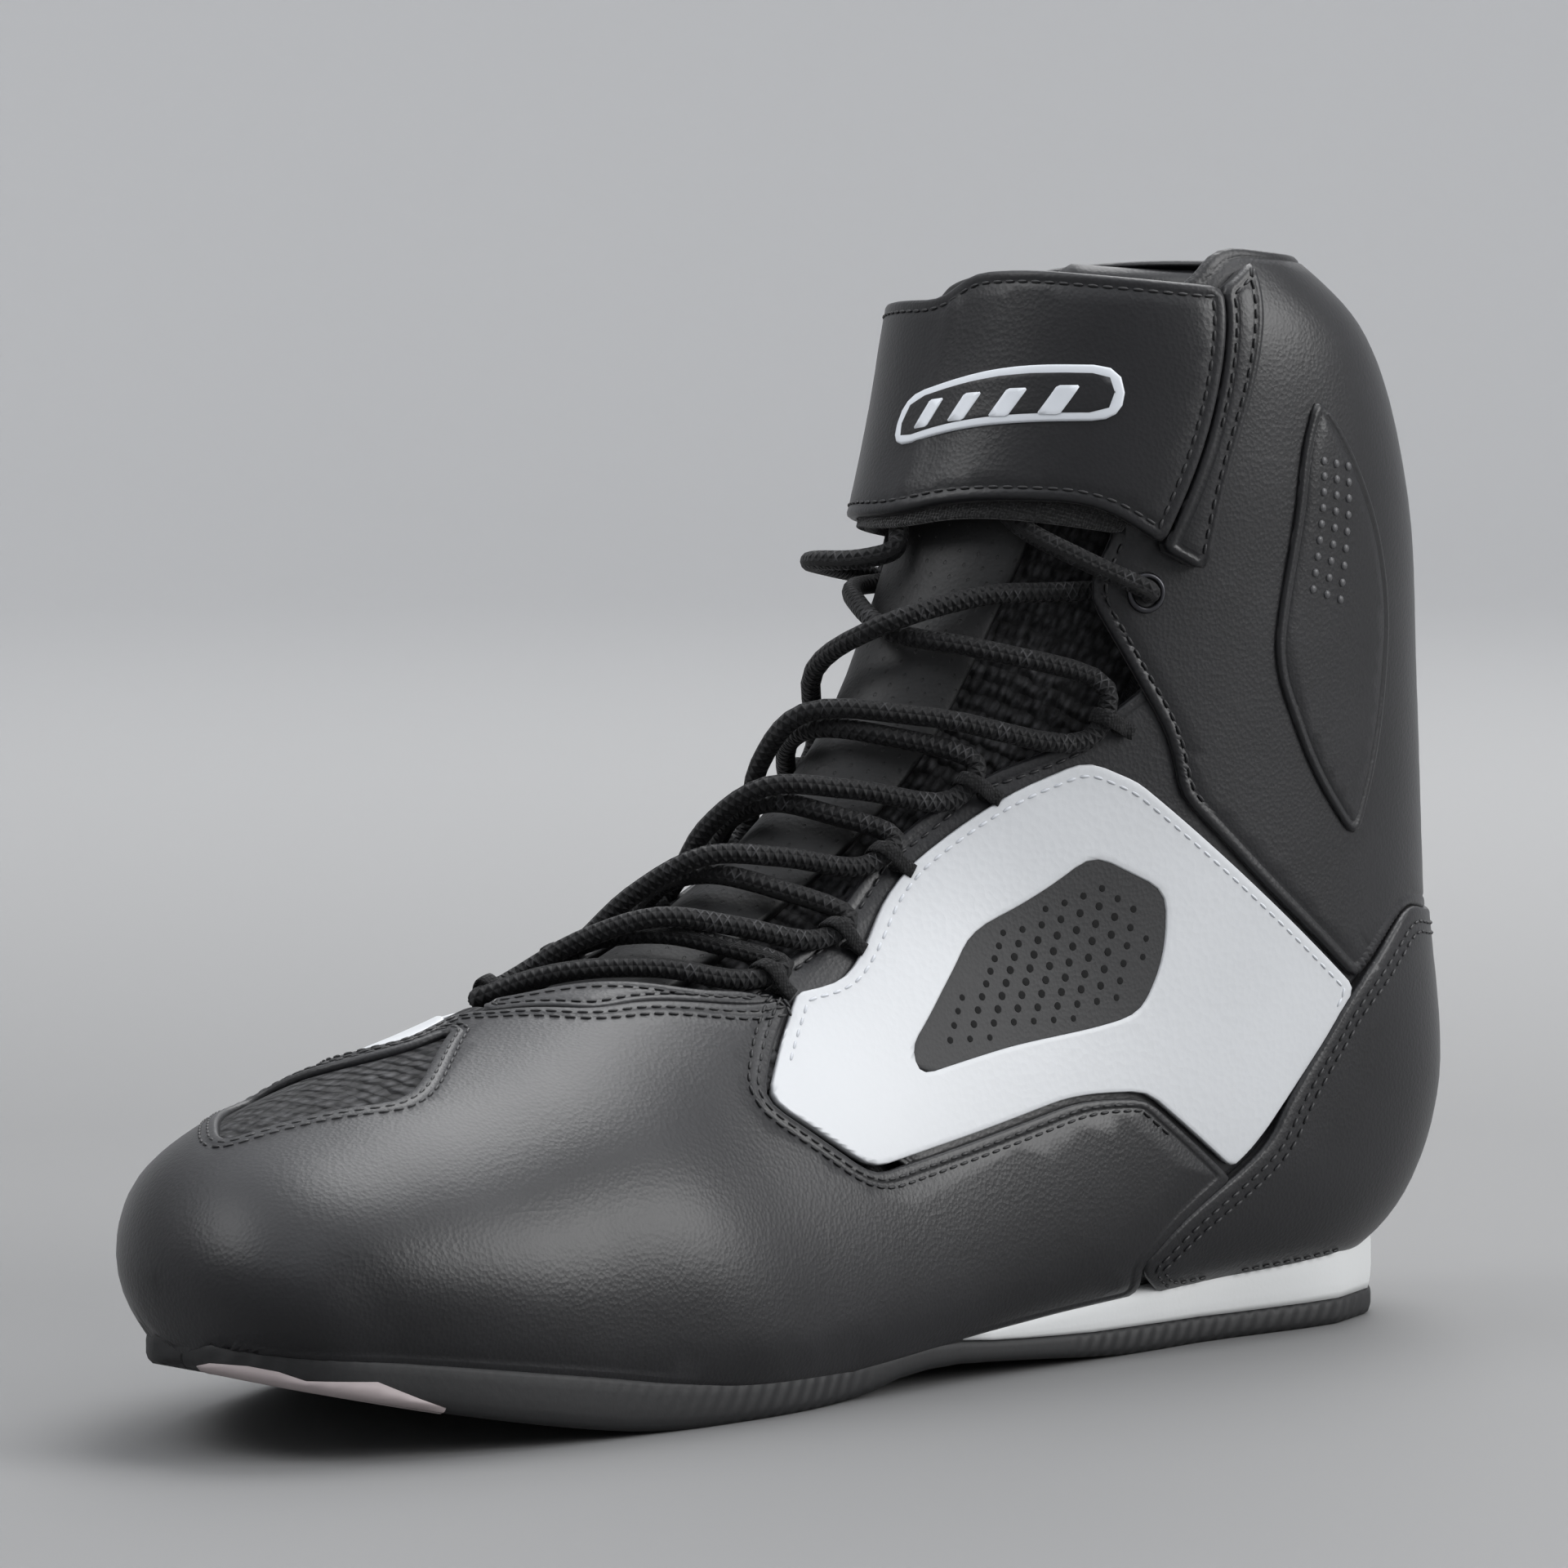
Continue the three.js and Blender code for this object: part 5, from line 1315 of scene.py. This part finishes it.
class SHOE_OT_dots(bpy.types.Operator):
    """Make the raised dots on the ankle guards, and near-black discs on the vents that stand for their holes:
    painted shade in the holes
    """

    bl_idname = "shoe.dots"
    bl_label = "Dots and holes"

    DISC_SIDES = 10
    HOLE_PITCH = 3.9
    HOLE_MARGIN = 3.2  # from the vent's edge, mm

    def discs(self, name, spots, profile):
        """Small round discs at (station, share, height, size), with a profile of (radius, height)."""
        verts, faces = [], []
        for t, s, height, size in spots:
            centre, n = over(np.array(t), np.array(s), np.array(height)), outward(np.array(t), np.array(s))
            a = np.cross(n, (0, 0, 1.0))
            a /= np.linalg.norm(a)
            b = np.cross(n, a)
            faces += tube_faces(len(verts), len(profile), self.DISC_SIDES)
            for r, h in profile:
                for g in 2 * math.pi * np.arange(self.DISC_SIDES) / self.DISC_SIDES:
                    verts.append(centre + (a * math.cos(g) + b * math.sin(g)) * r * size + n * h)
        return face_out(make(name, verts, faces))

    def execute(self, context):
        dots = [(12.2 + 0.105 * row, sign * (0.53 + 0.021 * column), 1.9, 0.8)
                for _, sign in SIDES for row in range(9) for column in range(3)]
        guard = self.discs("guard_dots", dots, [(1, -0.1), (0.95, 0.2), (0.7, 0.36), (0.3, 0.44)])
        place(guard, "leather_black", finish="dot_print")
        holes = []
        for _, sign in SIDES:
            outline = smooth_outline(on_side(VENT, sign))
            spots = pattern_points(outline, self.HOLE_PITCH)
            spots = spots[inside(spots, outline)]
            far = edge_distance(spots, [outline])
            holes += [(t, s, 0.75, 0.5 + 0.03 * min(d, 9))
                      for (t, s), d in zip(spots, far) if d > self.HOLE_MARGIN]
        # Near-black discs where the vent's holes are: painted shade in the holes.
        hole_shade = self.discs("vent_hole_shade", holes, [(1, -0.1), (1, 0.03), (0.8, 0.045)])
        place(hole_shade, "mesh_dark", finish="hole")
        return {"FINISHED"}


class SHOE_PT_panel(bpy.types.Panel):
    """Lists the steps that build the shoe"""

    bl_idname = "SHOE_PT_panel"
    bl_label = "Riding shoe"
    bl_space_type = "VIEW_3D"
    bl_region_type = "UI"
    bl_category = "Shoe"

    def draw(self, context):
        for group in (context.scene.shoe_look, context.scene.shoe_sizes):
            for name in group.__annotations__:
                self.layout.prop(group, name)
        for step in STEPS:
            self.layout.operator(step.bl_idname)


STEPS = (SHOE_OT_materials, SHOE_OT_stage, SHOE_OT_lacing, SHOE_OT_sole, SHOE_OT_upper, SHOE_OT_collar,
         SHOE_OT_tongue, SHOE_OT_strap, SHOE_OT_stitching, SHOE_OT_dots)
CLASSES = (ShoeLook, ShoeSizes, *STEPS, SHOE_PT_panel)


def register():
    for cls in CLASSES:
        bpy.utils.register_class(cls)
    bpy.types.Scene.shoe_look = bpy.props.PointerProperty(type=ShoeLook)
    bpy.types.Scene.shoe_sizes = bpy.props.PointerProperty(type=ShoeSizes)


def unregister():
    del bpy.types.Scene.shoe_look
    del bpy.types.Scene.shoe_sizes
    for cls in reversed(CLASSES):
        bpy.utils.unregister_class(cls)


def main():
    register()
    for step in STEPS:
        getattr(bpy.ops.shoe, step.bl_idname.split(".")[1])()


if __name__ == "__main__":
    main()
